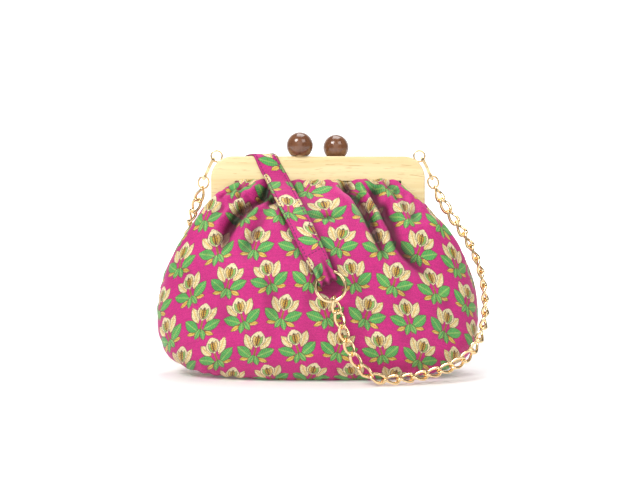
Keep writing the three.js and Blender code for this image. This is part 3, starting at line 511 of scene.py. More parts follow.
def edge_wear() -> NodeTree:
    """Makes the group that finds worn, lighter edges and dulled patches.

    Returns:
        The group's tree: an edge mask, a smudge mask and a roughness.
    """
    spec = GroupSpec(
        "wear",
        (
            ("Place", "Vector", None),
            ("Scale", "Float", 100.0),
            ("Roughness", "Float", 0.3),
            ("Spread", "Float", 0.1),
        ),
        (("Edge", "Float"), ("Smudge", "Float"), ("Roughness", "Float")),
    )

    def fill(graph: Graph, source: Node, result: Node) -> None:
        """Adds the group's nodes.

        Args:
            graph: The group's nodes.
            source: Its input node.
            result: Its output node.
        """
        point = graph.vector("SCALE", source.outputs["Place"])
        graph.put(source.outputs["Scale"], point.node.inputs[3])
        patch = graph.noise(point, 1.0, 4.0, 0.6)
        pointed = graph.node("NewGeometry").outputs["Pointiness"]
        edge = graph.times(graph.ramp(pointed, 0.505, 0.56), graph.ramp(patch, 0.4, 0.65))
        smudge = graph.ramp(patch, 0.42, 0.66)
        change = graph.times(graph.minus(smudge, 0.5), source.outputs["Spread"])
        graph.put(edge, result.inputs["Edge"])
        graph.put(smudge, result.inputs["Smudge"])
        rough = graph.plus(source.outputs["Roughness"], change, clamp=True)
        graph.put(rough, result.inputs["Roughness"])

    return spec.build(fill)


def wood_grain() -> NodeTree:
    """Makes the group for a pale close-grained wood: soft bands and short dark pores.

    Returns:
        The group's tree: the bands, the pores and a height.
    """
    spec = GroupSpec(
        "wood grain",
        (("Place", "Vector", None), ("Stretch", "Vector", (60.0, 900.0, 900.0))),
        (("Band", "Float"), ("Pore", "Float"), ("Height", "Float")),
    )

    def fill(graph: Graph, source: Node, result: Node) -> None:
        """Adds the group's nodes.

        Args:
            graph: The group's nodes.
            source: Its input node.
            result: Its output node.
        """
        place = source.outputs["Place"]
        sway = graph.noise(graph.scaled(place, (9.0, 30.0, 30.0)), 1.0, 2.0)
        swing = graph.times(graph.minus(sway, 0.5), 0.012)
        bent = graph.vector("ADD", place, graph.node("CombineXYZ", {1: swing, 2: swing}).outputs[0])
        band = graph.noise(graph.scaled(bent, (6.0, 160.0, 160.0)), 1.0, 3.0, 0.55)
        fleck = graph.noise(graph.scaled(bent, source.outputs["Stretch"]), 1.0, 2.0, 0.5)
        pore = graph.ramp(fleck, 0.61, 0.70)
        height = graph.minus(graph.times(band, 0.3), pore)
        graph.put(graph.ramp(band, 0.32, 0.68), result.inputs["Band"])
        graph.put(pore, result.inputs["Pore"])
        graph.put(height, result.inputs["Height"])

    return spec.build(fill)


def new_material(name: str) -> tuple[Material, Graph, Node]:
    """Makes a material that holds only a Principled shader.

    Args:
        name: The material's name.

    Returns:
        The material, its graph and its Principled node.
    """
    material = bpy.data.materials.new(name)
    material.use_nodes = True
    graph = Graph(material.node_tree)
    return material, graph, material.node_tree.nodes["Principled BSDF"]


@dataclass(frozen=True)
class ClothFinish:
    """The woven print as a material on a piece's own UV map, with painted shade from a point layer
    darkening its colour.
    """

    name: str
    sprigs: SprigPrint = SprigPrint()
    roughness: float = 0.62
    sheen: float = 0.16
    relief_mm: float = 0.10
    # How strongly the painted shade darkens the cloth's colour.
    shade_paint_strength: float = 0.95
    slack_mm: float = 0.9
    # The colour that the painted shade multiplies into the cloth.
    shade_paint_colour: Triple = (0.13, 0.03, 0.08)
    sheen_tint: Triple = (1.0, 0.75, 0.88)
    flat: bool = False

    def build(self) -> Material:
        """Makes the material.

        Returns:
            The cloth material.
        """
        material, graph, shader = new_material(self.name)
        if self.flat:
            here = graph.node("TexCoord").outputs["Object"]
            place = graph.scaled(here, (1 / MM, 1 / MM, 0.0))
        else:
            uv = graph.node("UVMap", uv_map=UV_MAP).outputs[0]
            place = graph.scaled(uv, (UV_UNIT_MM, UV_UNIT_MM, 0.0))
        cloth = graph.group(self.sprigs.build(), {"Place": place})
        wear = graph.group(edge_wear(), {"Place": graph.node("TexCoord").outputs["Object"], "Scale": 45.0})
        graph.put(graph.times(wear.outputs["Edge"], 0.5), cloth.inputs["Wear"])
        graph.put(self.roughness, wear.inputs["Roughness"])
        # Painted shade: the point layer darkens the cloth's colour in its folds, on the strap's pleats and
        # edges and beside the strap.
        fold = graph.node("Attribute", attribute_name=SHADE_PAINT_LAYER).outputs["Fac"]
        depth = graph.times(fold, self.shade_paint_strength)
        silk = graph.times(cloth.outputs["Motif"], -0.12)
        slack = graph.noise(graph.scaled(place, (0.07, 0.05, 1.0)), 1.0, 3.0, 0.55)
        soft = graph.bump(slack, 0.6, self.slack_mm)
        looks = {
            "Base Color": graph.mix(depth, cloth.outputs["Color"], self.shade_paint_colour, "MULTIPLY"),
            "Roughness": graph.plus(wear.outputs["Roughness"], silk, clamp=True),
            "Sheen Weight": self.sheen,
            "Sheen Roughness": 0.45,
            "Sheen Tint": self.sheen_tint,
            "Specular IOR Level": 0.35,
            "Normal": graph.bump(cloth.outputs["Height"], 0.55, self.relief_mm, soft),
        }
        graph.feed(shader, looks)
        return material


@dataclass(frozen=True)
class WoodFinish:
    """A pale lacquered wood with fine dark pores along the grain."""

    name: str
    light: Triple = (0.91, 0.75, 0.42)
    dark: Triple = (0.84, 0.64, 0.31)
    pore: Triple = (0.60, 0.38, 0.14)
    worn: Triple = (1.0, 0.93, 0.74)

    def build(self) -> Material:
        """Makes the material.

        Returns:
            The wood material.
        """
        material, graph, shader = new_material(self.name)
        place = graph.node("TexCoord").outputs["Object"]
        grain = graph.group(wood_grain(), {"Place": place})
        wear = graph.group(edge_wear(), {"Place": place, "Scale": 70.0, "Roughness": 0.36, "Spread": 0.12})
        colour = graph.mix(grain.outputs["Band"], self.light, self.dark)
        colour = graph.mix(graph.times(grain.outputs["Pore"], 0.6), colour, self.pore)
        looks = {
            "Base Color": graph.mix(graph.times(wear.outputs["Edge"], 0.25), colour, self.worn),
            "Roughness": wear.outputs["Roughness"],
            "Coat Weight": 0.3,
            "Coat Roughness": 0.22,
            "Normal": graph.bump(grain.outputs["Height"], 0.3, 0.06),
        }
        graph.feed(shader, looks)
        return material


@dataclass(frozen=True)
class LacquerFinish:
    """A glossy brown lacquer over turned wood, with a faint grain showing through."""

    name: str
    light: Triple = (0.215, 0.088, 0.040)
    dark: Triple = (0.150, 0.056, 0.025)
    pore: Triple = (0.05, 0.015, 0.006)

    def build(self) -> Material:
        """Makes the material.

        Returns:
            The bead's material.
        """
        material, graph, shader = new_material(self.name)
        place = graph.node("TexCoord").outputs["Object"]
        turned = graph.node("VectorRotate", {"Vector": place, "Angle": math.pi / 2}, rotation_type="Y_AXIS")
        grain = graph.group(wood_grain(), {"Place": turned.outputs[0], "Stretch": (90.0, 1200.0, 1200.0)})
        wear = graph.group(edge_wear(), {"Place": place, "Scale": 160.0, "Roughness": 0.2, "Spread": 0.08})
        colour = graph.mix(grain.outputs["Band"], self.light, self.dark)
        looks = {
            "Base Color": graph.mix(graph.times(grain.outputs["Pore"], 0.35), colour, self.pore),
            "Roughness": wear.outputs["Roughness"],
            "Coat Weight": 0.5,
            "Coat Roughness": 0.1,
        }
        graph.feed(shader, looks)
        return material


@dataclass(frozen=True)
class MetalFinish:
    """A plated metal with fine scratches and slightly dulled patches."""

    name: str
    base: Triple
    shade: Triple
    roughness: float

    def build(self) -> Material:
        """Makes the material.

        Returns:
            The metal's material.
        """
        material, graph, shader = new_material(self.name)
        place = graph.node("TexCoord").outputs["Object"]
        values = {"Place": place, "Scale": 260.0, "Roughness": self.roughness, "Spread": 0.08}
        wear = graph.group(edge_wear(), values)
        scratch = graph.noise(graph.scaled(place, (900.0, 2600.0, 2600.0)), 1.0, 2.0)
        looks = {
            "Base Color": graph.mix(graph.times(wear.outputs["Smudge"], 0.35), self.base, self.shade),
            "Roughness": wear.outputs["Roughness"],
            "Metallic": 1.0,
            "Normal": graph.bump(scratch, 0.06, 0.01),
        }
        graph.feed(shader, looks)
        return material


@dataclass(frozen=True)
class ThreadFinish:
    """A matt twisted sewing thread."""

    name: str
    colour: Triple = (0.12, 0.012, 0.075)

    def build(self) -> Material:
        """Makes the material.

        Returns:
            The thread's material.
        """
        material, graph, shader = new_material(self.name)
        place = graph.node("TexCoord").outputs["Object"]
        twist = graph.noise(graph.scaled(place, (2400.0, 2400.0, 2400.0)), 1.0, 1.0)
        graph.put(graph.mix(twist, self.colour, (0.30, 0.03, 0.16)), shader.inputs["Base Color"])
        graph.put(graph.ramp(twist, 0.2, 0.8, 0.6, 0.9), shader.inputs["Roughness"])
        return material


# ---------------------------------------------------------------- modelling helpers


def deselect() -> None:
    """Leaves object mode with nothing selected."""
    if bpy.context.mode != "OBJECT":
        bpy.ops.object.mode_set(mode="OBJECT")
    bpy.ops.object.select_all(action="DESELECT")


def activate(obj: Object) -> None:
    """Makes one object the only selected and the active one."""
    deselect()
    obj.select_set(True)
    bpy.context.view_layer.objects.active = obj


def settle(obj: Object) -> Object:
    """Applies an object's place, turn and size to its mesh."""
    activate(obj)
    bpy.ops.object.transform_apply(location=True, rotation=True, scale=True)
    return obj


def apply_modifiers(obj: Object) -> None:
    """Applies all of an object's modifiers in order."""
    activate(obj)
    for modifier in list(obj.modifiers):
        bpy.ops.object.modifier_apply(modifier=modifier.name)


def rounded(obj: Object, width_mm: float, segments: int, angle: float = 30.0) -> None:
    """Bevels an object's sharp edges with an applied modifier.

    Args:
        obj: The object.
        width_mm: The bevel's width.
        segments: Its segments.
        angle: The smallest angle, in degrees, that is bevelled.
    """
    bevel = obj.modifiers.new("round", "BEVEL")
    bevel.width = width_mm * MM
    bevel.segments = segments
    bevel.limit_method = "ANGLE"
    bevel.angle_limit = math.radians(angle)
    bevel.harden_normals = False
    apply_modifiers(obj)


def smooth(obj: Object, angle: float = 40.0) -> None:
    """Shades an object smooth up to an angle."""
    activate(obj)
    bpy.ops.object.shade_smooth_by_angle(angle=math.radians(angle))


def recalculated(obj: Object, merge: bool = True) -> None:
    """Turns an object's faces outwards.

    Args:
        obj: The object.
        merge: Whether its doubles are merged first.
    """
    activate(obj)
    bpy.ops.object.mode_set(mode="EDIT")
    bpy.ops.mesh.select_all(action="SELECT")
    if merge:
        bpy.ops.mesh.remove_doubles(threshold=MERGE_DISTANCE)
    bpy.ops.mesh.normals_make_consistent(inside=False)
    bpy.ops.object.mode_set(mode="OBJECT")


def edit_select(obj: Object, kind: Element, wanted: Callable[[object], bool]) -> None:
    """Enters edit mode and selects only the vertices, edges or faces that a test picks.

    Args:
        obj: The object.
        kind: Which of them.
        wanted: The test, on a bmesh element.
    """
    if bpy.context.mode != "EDIT_MESH":
        activate(obj)
        bpy.ops.object.mode_set(mode="EDIT")
    bpy.ops.mesh.select_mode(type=kind.name)
    bpy.ops.mesh.select_all(action="DESELECT")
    shape = bmesh.from_edit_mesh(obj.data)
    for element in [element for element in getattr(shape, kind.value) if wanted(element)]:
        element.select_set(True)
    bmesh.update_edit_mesh(obj.data)


def joined(parts: Sequence[Object], name: str) -> Object:
    """Joins objects into one named piece at the origin.

    Args:
        parts: The objects, already settled.
        name: The piece's name.

    Returns:
        The joined object.
    """
    activate(parts[0])
    for part in parts[1:]:
        part.select_set(True)
    if len(parts) > 1:
        bpy.ops.object.join()
    piece = bpy.context.view_layer.objects.active
    piece.name = name
    piece.data.name = name
    return settle(piece)


def grid_object(name: str, points: np.ndarray, uv: np.ndarray | None, closed: bool) -> Object:
    """Makes a smooth surface from rows of points.

    Args:
        name: The object's name.
        points: Rows by columns by three, in millimetres.
        uv: Rows by columns by two for the map named cloth, with one column more than points if closed.
        closed: Whether the last column joins the first.

    Returns:
        The object.
    """
    rows, columns = points.shape[:2]
    last = columns if closed else columns - 1
    row, column = np.meshgrid(np.arange(rows - 1), np.arange(last), indexing="ij")
    beside = (column + 1) % columns
    start, above = row * columns, (row + 1) * columns
    corners = [start + column, start + beside, above + beside, above + column]
    faces = np.stack(corners, axis=-1).reshape(-1, 4)
    mesh = bpy.data.meshes.new(name)
    mesh.from_pydata((points.reshape(-1, 3) * MM).tolist(), [], faces.tolist())
    if uv is not None:
        wide = uv.shape[1]
        start, above = row * wide + column, (row + 1) * wide + column
        places = [start, start + 1, above + 1, above]
        index = np.stack(places, axis=-1).reshape(-1)
        layer = mesh.uv_layers.new(name=UV_MAP)
        layer.data.foreach_set("uv", uv.reshape(-1, 2)[index].astype(np.float32).ravel())
    mesh.polygons.foreach_set("use_smooth", np.ones(len(mesh.polygons), dtype=bool))
    mesh.update()
    obj = bpy.data.objects.new(name, mesh)
    bpy.context.scene.collection.objects.link(obj)
    return obj


def painted_shade_layer(obj: Object) -> bpy.types.Attribute:
    """Finds or adds the point layer of painted shade, which darkens the cloth in folds, on the strap's
    pleats and edges and beside the strap.
    """
    layers = obj.data.attributes
    return layers.get(SHADE_PAINT_LAYER) or layers.new(SHADE_PAINT_LAYER, "FLOAT", "POINT")


def finish_piece(
    obj: Object,
    material: Material,
    body: str = BODY,
    replaces: Iterable[str] = (),
) -> Object:
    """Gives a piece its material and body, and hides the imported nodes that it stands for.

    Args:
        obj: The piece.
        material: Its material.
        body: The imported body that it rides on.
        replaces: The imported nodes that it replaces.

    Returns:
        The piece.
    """
    obj.data.materials.clear()
    obj.data.materials.append(material)
    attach(obj, body)
    if replaces:
        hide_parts(*replaces)
    LOG.info("%s: %d faces", obj.name, len(obj.data.polygons))
    return obj


def cylinder(
    sides: int, radius: float, length: float, centre: Vector = Vector(), turn: Euler = Euler()
) -> Object:
    """Adds a cylinder.

    Args:
        sides: Its vertices around.
        radius: Its radius in millimetres.
        length: Its length.
        centre: Its middle.
        turn: How its axis is turned from upright.

    Returns:
        The cylinder, settled.
    """
    deselect()
    size = {"radius": radius * MM, "depth": length * MM}
    bpy.ops.mesh.primitive_cylinder_add(vertices=sides, location=centre * MM, rotation=turn, **size)
    return settle(bpy.context.object)


def catmull(rows: np.ndarray, places: np.ndarray) -> np.ndarray:
    """Samples a smooth curve through rows of values.

    Args:
        rows: The values, one row for each whole place.
        places: Where to sample, from 0 to the last row.

    Returns:
        The sampled values.
    """
    first = np.clip(np.floor(places).astype(int), 0, len(rows) - 2)
    share = (places - first).reshape(-1, *([1] * (rows.ndim - 1)))
    padded = np.concatenate([[2 * rows[0] - rows[1]], rows, [2 * rows[-1] - rows[-2]]])
    a, b, c, d = (padded[first + step] for step in range(4))
    middle = 2 * a - 5 * b + 4 * c - d
    return 0.5 * (2 * b + (c - a) * share + middle * share**2 + (3 * b - a - 3 * c + d) * share**3)


def smoothstep(low: float, high: float, value: np.ndarray) -> np.ndarray:
    """Rises smoothly from 0 at low to 1 at high."""
    share = np.clip((value - low) / (high - low), 0.0, 1.0)
    return share * share * (3 - 2 * share)


# ---------------------------------------------------------------- the pouch

# One row for each cross-section, from the base up: its height on the side seams and at the fullest line of
# each panel, its width and depth, as shares, and how square it is.
SECTIONS: tuple[tuple[float, float, float, float, float], ...] = (
    (0.001, 0.001, 0.5354, 0.5691, 2.5),
    (0.008, 0.008, 0.68, 0.64, 2.5),
    (0.045, 0.045, 0.845, 0.77, 2.4),
    (0.116, 0.116, 0.95, 0.89, 2.35),
    (0.22, 0.22, 0.993, 0.97, 2.3),
    (0.34, 0.35, 1.0, 1.0, 2.3),
    (0.465, 0.5, 0.979, 0.985, 2.3),
    (0.58, 0.65, 0.93, 0.92, 2.4),
    (0.65, 0.78, 0.875, 0.8, 2.8),
    (0.685, 0.875, 0.81, 0.64, 3.4),
    (0.712, 0.943, 0.735, 0.46, 4.0),
)

# The broad pleats of each panel: place across, drift per unit down, depth, width, top and foot.
FRONT_PLEATS: tuple[tuple[float, ...], ...] = (
    (-0.6, -0.06, 4.0, 0.07, 0.96, 0.6),
    (-0.4, -0.04, 9.0, 0.075, 0.99, 0.6),
    (-0.26, -0.03, 6.0, 0.05, 0.99, 0.55),
    (-0.02, 0.01, 4.0, 0.045, 0.99, 0.76),
    (0.2, 0.12, 8.0, 0.07, 0.99, 0.58),
    (0.38, 0.1, 5.0, 0.06, 0.98, 0.5),
    (0.58, 0.05, 4.0, 0.07, 0.94, 0.44),
)
BACK_PLEATS: tuple[tuple[float, ...], ...] = (
    (-0.56, -0.05, 5.0, 0.07, 0.96, 0.55),
    (-0.33, -0.05, 9.0, 0.07, 0.99, 0.58),
    (-0.08, -0.02, 6.0, 0.055, 0.99, 0.68),
    (0.16, 0.05, 8.0, 0.065, 0.99, 0.6),
    (0.4, 0.05, 6.0, 0.065, 0.98, 0.52),
    (0.6, 0.04, 4.0, 0.07, 0.95, 0.5),
)


@dataclass(frozen=True)
class Crease:
    """One fold of the cloth, drawn down a panel by x and z, with a depth and a width at each end."""

    path: tuple[tuple[float, float], ...]
    depth: tuple[float, float]
    width: tuple[float, float]
    steep: float = 1.0  # how much sharper its -X side is than its +X side
    lip: float = 0.3  # how high the cloth stands beside it, as a share of its depth
    fade: tuple[float, float] = (0.10, 0.28)

    def press(self, x: np.ndarray, z: np.ndarray) -> np.ndarray:
        """Finds how far the crease presses the cloth in at each place.

        Args:
            x: The places across, in millimetres.
            z: Their heights.

        Returns:
            How far in, with the cloth beside it standing out.
        """
        steps = np.linspace(0.0, len(self.path) - 1.0, 8 * len(self.path))
        points = catmull(np.array(self.path, dtype=float), steps)
        lengths = np.linalg.norm(np.diff(points, axis=0), axis=1)
        starts = np.concatenate([[0.0], np.cumsum(lengths)])
        best = np.full(x.shape, 1e9)
        place = np.zeros(x.shape)
        side = np.zeros(x.shape)
        for (ax, az), (bx, bz), length, start in zip(points[:-1], points[1:], lengths, starts[:-1]):
            along = ((bx - ax) / length, (bz - az) / length)
            share = np.clip((x - ax) * along[0] + (z - az) * along[1], 0.0, length)
            away_x, away_z = x - ax - along[0] * share, z - az - along[1] * share
            away = np.hypot(away_x, away_z)
            near = away < best
            best = np.where(near, away, best)
            place = np.where(near, (start + share) / starts[-1], place)
            side = np.where(near, away_x * along[1] - away_z * along[0], side)
        depth = self.depth[0] + (self.depth[1] - self.depth[0]) * place
        width = self.width[0] + (self.width[1] - self.width[0]) * place
        fade = smoothstep(-0.01, self.fade[0], place)
        fade = fade * (1 - smoothstep(1 - self.fade[1], 1.0, place) * 0.97)
        sharper = np.where(side > 0, self.steep, 1 / self.steep)
        off = best / width * sharper
        lift = self.lip * np.where(side > 0, 1.0, 0.55) * np.exp(-((off - 1.7) ** 2) / 0.8)
        return depth * fade * (np.exp(-(off**2)) - lift)


FRONT_CREASES: tuple[Crease, ...] = (
    Crease(
        ((-40, 171), (-50, 160), (-64, 151), (-72, 144), (-78, 130), (-83, 111), (-88, 98)),
        (14, 3.4), (5.6, 6.5), 1.4,
    ),
    Crease(((-34, 166), (-43, 152), (-52, 134), (-61, 117), (-68, 99)), (7, 2.4), (4.2, 6.5), 1.3, 0.35),
    Crease(((-73, 143), (-84, 127), (-95, 108), (-102, 96)), (3.6, 1.6), (4.5, 7.5), 1.2),
    Crease(((-66, 163), (-78, 152), (-92, 138)), (4.0, 1.5), (3.2, 5.5)),
    Crease(((-20, 171), (-24, 154), (-25, 138), (-24, 120)), (4.0, 1.2), (3.2, 6.0), 1.2, 0.4),
    Crease(((2, 172), (2.5, 158), (4, 138)), (4.5, 1.5), (2.8, 4.5), 1.2, 0.4),
    Crease(((-4, 141.5), (9, 140.5), (24, 141.5)), (2.6, 1.6), (2.2, 3.2), 1.0, 0.5),
    Crease(
        ((18, 172), (31, 159), (38, 149), (44, 136), (50, 123), (57, 110), (65, 98)),
        (14, 3.2), (5.4, 6.5), 1.5,
    ),
    Crease(
        ((40, 171), (50, 158), (57, 145), (63, 131), (69, 116), (80, 102), (98, 88), (105, 74)),
        (11, 2.6), (4.6, 8.0), 1.4, 0.35,
    ),
    Crease(((58, 172), (70, 160), (80, 147), (88, 132)), (5.0, 1.6), (3.4, 6.5), 1.2),
    Crease(((-112, 100), (-118, 72), (-114, 44)), (2.2, 1.2), (8.0, 11.0)),
    Crease(((-84, 88), (-80, 58), (-84, 26)), (1.8, 1.0), (9.0, 11.0)),
    Crease(((-44, 92), (-39, 60), (-42, 26)), (2.2, 1.2), (8.0, 11.0)),
    Crease(((-6, 84), (-9, 54), (-5, 22)), (1.6, 1.0), (9.0, 11.0)),
    Crease(((34, 92), (38, 60), (34, 24)), (2.0, 1.2), (8.0, 11.0)),
    Crease(((70, 84), (75, 54), (70, 24)), (1.8, 1.2), (8.0, 11.0)),
    Crease(((108, 72), (113, 50), (107, 28)), (2.2, 1.2), (8.0, 11.0)),
)
BACK_CREASES: tuple[Crease, ...] = (
    Crease(((-38, 171), (-50, 152), (-58, 130), (-64, 102)), (8, 2.2), (4.2, 7.0), 1.3),
    Crease(((-8, 171), (-10, 150), (-14, 126)), (5, 1.5), (3.4, 5.5), 1.2, 0.35),
    Crease(((20, 172), (33, 150), (44, 124), (58, 98)), (8.5, 2.0), (4.2, 7.5), 1.4),
    Crease(((44, 171), (58, 150), (72, 122)), (5.5, 1.6), (3.6, 7.0), 1.3),
    Crease(((62, 170), (76, 154), (88, 132)), (4.5, 1.6), (3.4, 7.0), 1.1),
    Crease(((-62, 170), (-76, 152), (-90, 126)), (5.0, 1.6), (3.6, 7.0), 1.2),
    Crease(((-98, 92), (-104, 60), (-98, 30)), (2.4, 1.2), (9.0, 12.0)),
    Crease(((-56, 88), (-52, 56), (-56, 24)), (2.2, 1.0), (9.0, 12.0)),
    Crease(((-14, 88), (-10, 56), (-14, 24)), (1.8, 1.0), (10.0, 12.0)),
    Crease(((26, 88), (30, 56), (26, 24)), (2.0, 1.0), (9.0, 12.0)),
    Crease(((72, 88), (80, 58), (74, 28)), (2.2, 1.0), (9.0, 12.0)),
)


@dataclass
class Pouch:
    """The gathered cloth pouch: two panels joined at the side seams and sewn to the jaws' inner edges."""

    width: float = POUCH_WIDTH
    depth: float = POUCH_DEPTH
    height: float = POUCH_HEIGHT
    wall: float = WALL
    columns: int = 300
    rows: int = 168
    groove: float = 0.9  # how far the rim is let into the wood

    def section(self, row: np.ndarray, across: np.ndarray) -> np.ndarray:
        """Places the points of one cross-section of a panel.

        Args:
            row: Its side height, front height, width, depth and squareness.
            across: The places across, from -1 to 1.

        Returns:
            The points, with the depth counted outwards from the middle plane.
        """
        seam, front, width, depth, square = row
        angle = (1 - np.abs(across)) * math.pi / 2
        x = np.sign(across) * width * np.cos(angle) ** (2 / square) * self.width / 2
        y = depth * np.sin(angle) ** (2 / square) * self.depth / 2 + SEAM_GAP / 2
        z = (seam + (front - seam) * (1 - smoothstep(0.42, 1.0, np.abs(across)))) * self.height
        return np.stack([x, y, z], axis=-1)

    def rim(self, across: np.ndarray) -> np.ndarray:
        """Follows the jaws' inner edge from its middle to each hinge.

        Args:
            across: The places across, from -1 to 1.

        Returns:
            The rim's points at the middle plane.
        """
        inside = FRAME_WIDTH / 2 - LEG_WIDTH + self.groove
        top = self.height + self.groove
        corner = INNER_CORNER + 1
        bend = [(inside - corner, top)]
        for share in np.linspace(0.0, 1.0, 13)[1:]:
            start, stop = (inside - corner, top), (inside, top - corner)
            first = (1 - share) ** 2, 2 * share * (1 - share), share**2
            ways = zip(start, (inside, top), stop)
            bend.append(tuple(first[0] * a + first[1] * b + first[2] * c for a, b, c in ways))
        line = np.array([(0.0, top), *bend, (inside, RIM_SEAM_HEIGHT), (HINGE_X, RIM_SEAM_HEIGHT)])
        lengths = np.concatenate([[0.0], np.cumsum(np.linalg.norm(np.diff(line, axis=0), axis=1))])
        done = np.abs(across) * lengths[-1]
        x = np.interp(done, lengths, line[:, 0]) * np.sign(across)
        return np.stack([x, np.zeros_like(x), np.interp(done, lengths, line[:, 1])], axis=-1)

    def pleats(
        self, table: Sequence[Sequence[float]], across: np.ndarray, height: np.ndarray
    ) -> np.ndarray:
        """Finds how far a panel's broad pleats press it in.

        Args:
            table: The pleats' rows.
            across: The places across.
            height: The heights as shares of the pouch's height.

        Returns:
            The depths in millimetres.
        """
        total = np.zeros(np.broadcast(across, height).shape)
        for place, drift, deep, wide, top, foot in table:
            down = np.clip((top - height) / (top - foot), 0.0, 1.0)
            strength = np.sin(math.pi * np.sqrt(down))
            off = (across - place - drift * down) / (wide * (1 + down))
            swell = 0.25 * np.exp(-((np.abs(off) - 1.9) ** 2))
            total += deep * strength * (np.exp(-(off**2)) - swell)
        return total * (1 - smoothstep(0.75, 0.95, np.abs(across)))

    def skeleton(self, across: np.ndarray, down: np.ndarray) -> np.ndarray:
        """Lays a panel's smooth surface from the rim to the base's edge.

        Args:
            across: The places across.
            down: The rows, from 0 at the rim to 1 at the base.

        Returns:
            Rows by columns of points.
        """
        seamless = 1 - smoothstep(0.9, 1.0, np.abs(across))
        rim = self.rim(across)
        none = np.zeros_like(across)
        under = np.stack([none, JAW_INNER + seamless * 3.0, none], axis=-1)
        aside = np.sign(across) * (1 - seamless) * 5.0
        front = np.stack([aside, JAW_INNER + seamless * 10.45, none], axis=-1)
        levels = [self.section(np.array(row), across) for row in reversed(SECTIONS)]
        rows = np.stack([rim + under, rim + front, *levels])
        steps = np.linalg.norm(np.diff(rows[:, ::7], axis=0), axis=2).mean(axis=1)
        stations = np.concatenate([[0.0], np.cumsum(steps)])
        return catmull(rows, np.interp(down * stations[-1], stations, np.arange(len(rows))))

    def wrinkle(self, points: np.ndarray, across: np.ndarray, side: Side) -> np.ndarray:
        """Adds up a panel's folds, puckers and waves.

        Args:
            points: The smooth surface.
            across: The places across.
            side: Which panel.

        Returns:
            How far each point is pressed in.
        """
        x, z = points[..., 0], points[..., 2]
        table, creases = (FRONT_PLEATS, FRONT_CREASES) if side < 0 else (BACK_PLEATS, BACK_CREASES)
        pressed = 0.6 * self.pleats(table, across[None, :], z / self.height)
        for crease in creases:
            pressed = pressed + crease.press(x, z)
        phase = 0.0 if side < 0 else 1.7
        drift = 0.035 * (POUCH_HEIGHT - z) * np.sign(x)
        gather = np.sin(x * 0.30 + 1.1 * np.sin(x * 0.09 + phase) + drift) ** 2
        near_rim = smoothstep(118.0, 162.0, z) * (1 - smoothstep(0.35, 0.62, np.abs(across)))
        pressed = pressed + 1.5 * near_rim * gather
        at_seam = smoothstep(0.72, 0.97, np.abs(across)) * smoothstep(14.0, 40.0, z)
        at_seam = at_seam * (1 - smoothstep(104.0, 122.0, z))
        pucker = np.sin(z * 0.23 + 1.3 * np.sin(z * 0.11 + phase + across[None, :] * 2)) ** 2
        pressed = pressed + 1.1 * at_seam * pucker
        low = 1 - smoothstep(6.0, 22.0, z)
        pressed = pressed + 1.2 * low * np.sin(x * 0.21 + 1.4 * np.sin(x * 0.07 + phase)) ** 2
        wave = np.sin(x * 0.045 + z * 0.021 + phase) * np.sin(z * 0.05 - x * 0.017 + 2 * phase)
        ripple = np.sin(x * 0.11 - z * 0.07 + 3 * phase) * np.sin(z * 0.083 + x * 0.05)
        return pressed + smoothstep(8.0, 30.0, z) * (0.9 * wave + 0.55 * ripple)

    @staticmethod
    def painted_shade_values(pressed: np.ndarray) -> np.ndarray:
        """Finds the painted shade of each place from how deep it lies below the cloth around it.

        Args:
            pressed: How far each point is pressed in.

        Returns:
            Painted shade, from 0 in the open to 1 in the deepest folds.
        """
        around = pressed
        for axis, reach in ((0, 6), (1, 7), (0, 6), (1, 7)):
            rolled = [np.roll(around, step, axis=axis) for step in range(-reach, reach + 1)]
            around = np.mean(rolled, axis=0)
        # Painted shade grows with how far a place is pressed below the blurred cloth around it.
        return np.clip((pressed - around - 0.2) / 3.0, 0.0, 1.0)

    def panel(self, side: Side) -> tuple[np.ndarray, np.ndarray, np.ndarray]:
        """Makes one panel's outer surface and its cloth map.

        Args:
            side: Which panel.

        Returns:
            Rows by columns of points, of map places in millimetres and of painted shade, deepest in the
            folds.
        """
        turn = np.linspace(-1.0, 1.0, self.columns + 1)
        across = np.sign(turn) * (1 - (1 - np.abs(turn)) ** 1.12)
        down = np.linspace(0.0, 1.0, self.rows + 1)
        smooth_rows = self.skeleton(across, down)
        outward = np.cross(np.gradient(smooth_rows, axis=1), np.gradient(smooth_rows, axis=0))
        outward /= np.maximum(np.linalg.norm(outward, axis=2, keepdims=True), 1e-9)
        outward *= np.where(outward[..., 1:2] < -0.05, -1.0, 1.0)
        edge = (1 - smoothstep(0.965, 1.0, np.abs(across)))[None, :]
        start = smoothstep(0.0, 0.05, down)[:, None] * (1 - smoothstep(0.985, 1.0, down))[:, None]
        pressed = self.wrinkle(smooth_rows, across, side) * edge * start
        rows = smooth_rows - outward * pressed[..., None]
        slump = np.exp(-(((rows[..., 0] - 92) / 16) ** 2)) * smoothstep(128.0, 150.0, rows[..., 2])
        rows[..., 2] -= 6.0 * slump * start * edge * (side < 0)
        over = (rows[..., 2] > LEG_FOOT - 3) & (down[:, None] > 0.035)
        rows[..., 1] = np.where(over, np.maximum(rows[..., 1], JAW_OUTER + 0.6), rows[..., 1])
        rows[..., 1] = np.maximum(rows[..., 1], SEAM_GAP / 2)
        rows[..., 2] = np.maximum(rows[..., 2], 0.15)
        step = np.linalg.norm(np.diff(smooth_rows, axis=1), axis=2)
        arc = np.concatenate([np.zeros((self.rows + 1, 1)), np.cumsum(step, axis=1)], axis=1)
        arc -= arc[:, [self.columns // 2]]
        gathered = np.abs(arc)
        wide = gathered[int(self.rows * 0.55)]
        share = smoothstep(0.1, 0.6, down)[:, None]
        settled = 0.35 * wide[None, :] + 0.65 * gathered
        u = np.sign(turn)[None, :] * ((1 - share) * settled + share * gathered)
        along = np.gradient(smooth_rows, axis=1)
        along /= np.maximum(np.linalg.norm(along, axis=2, keepdims=True), 1e-9)
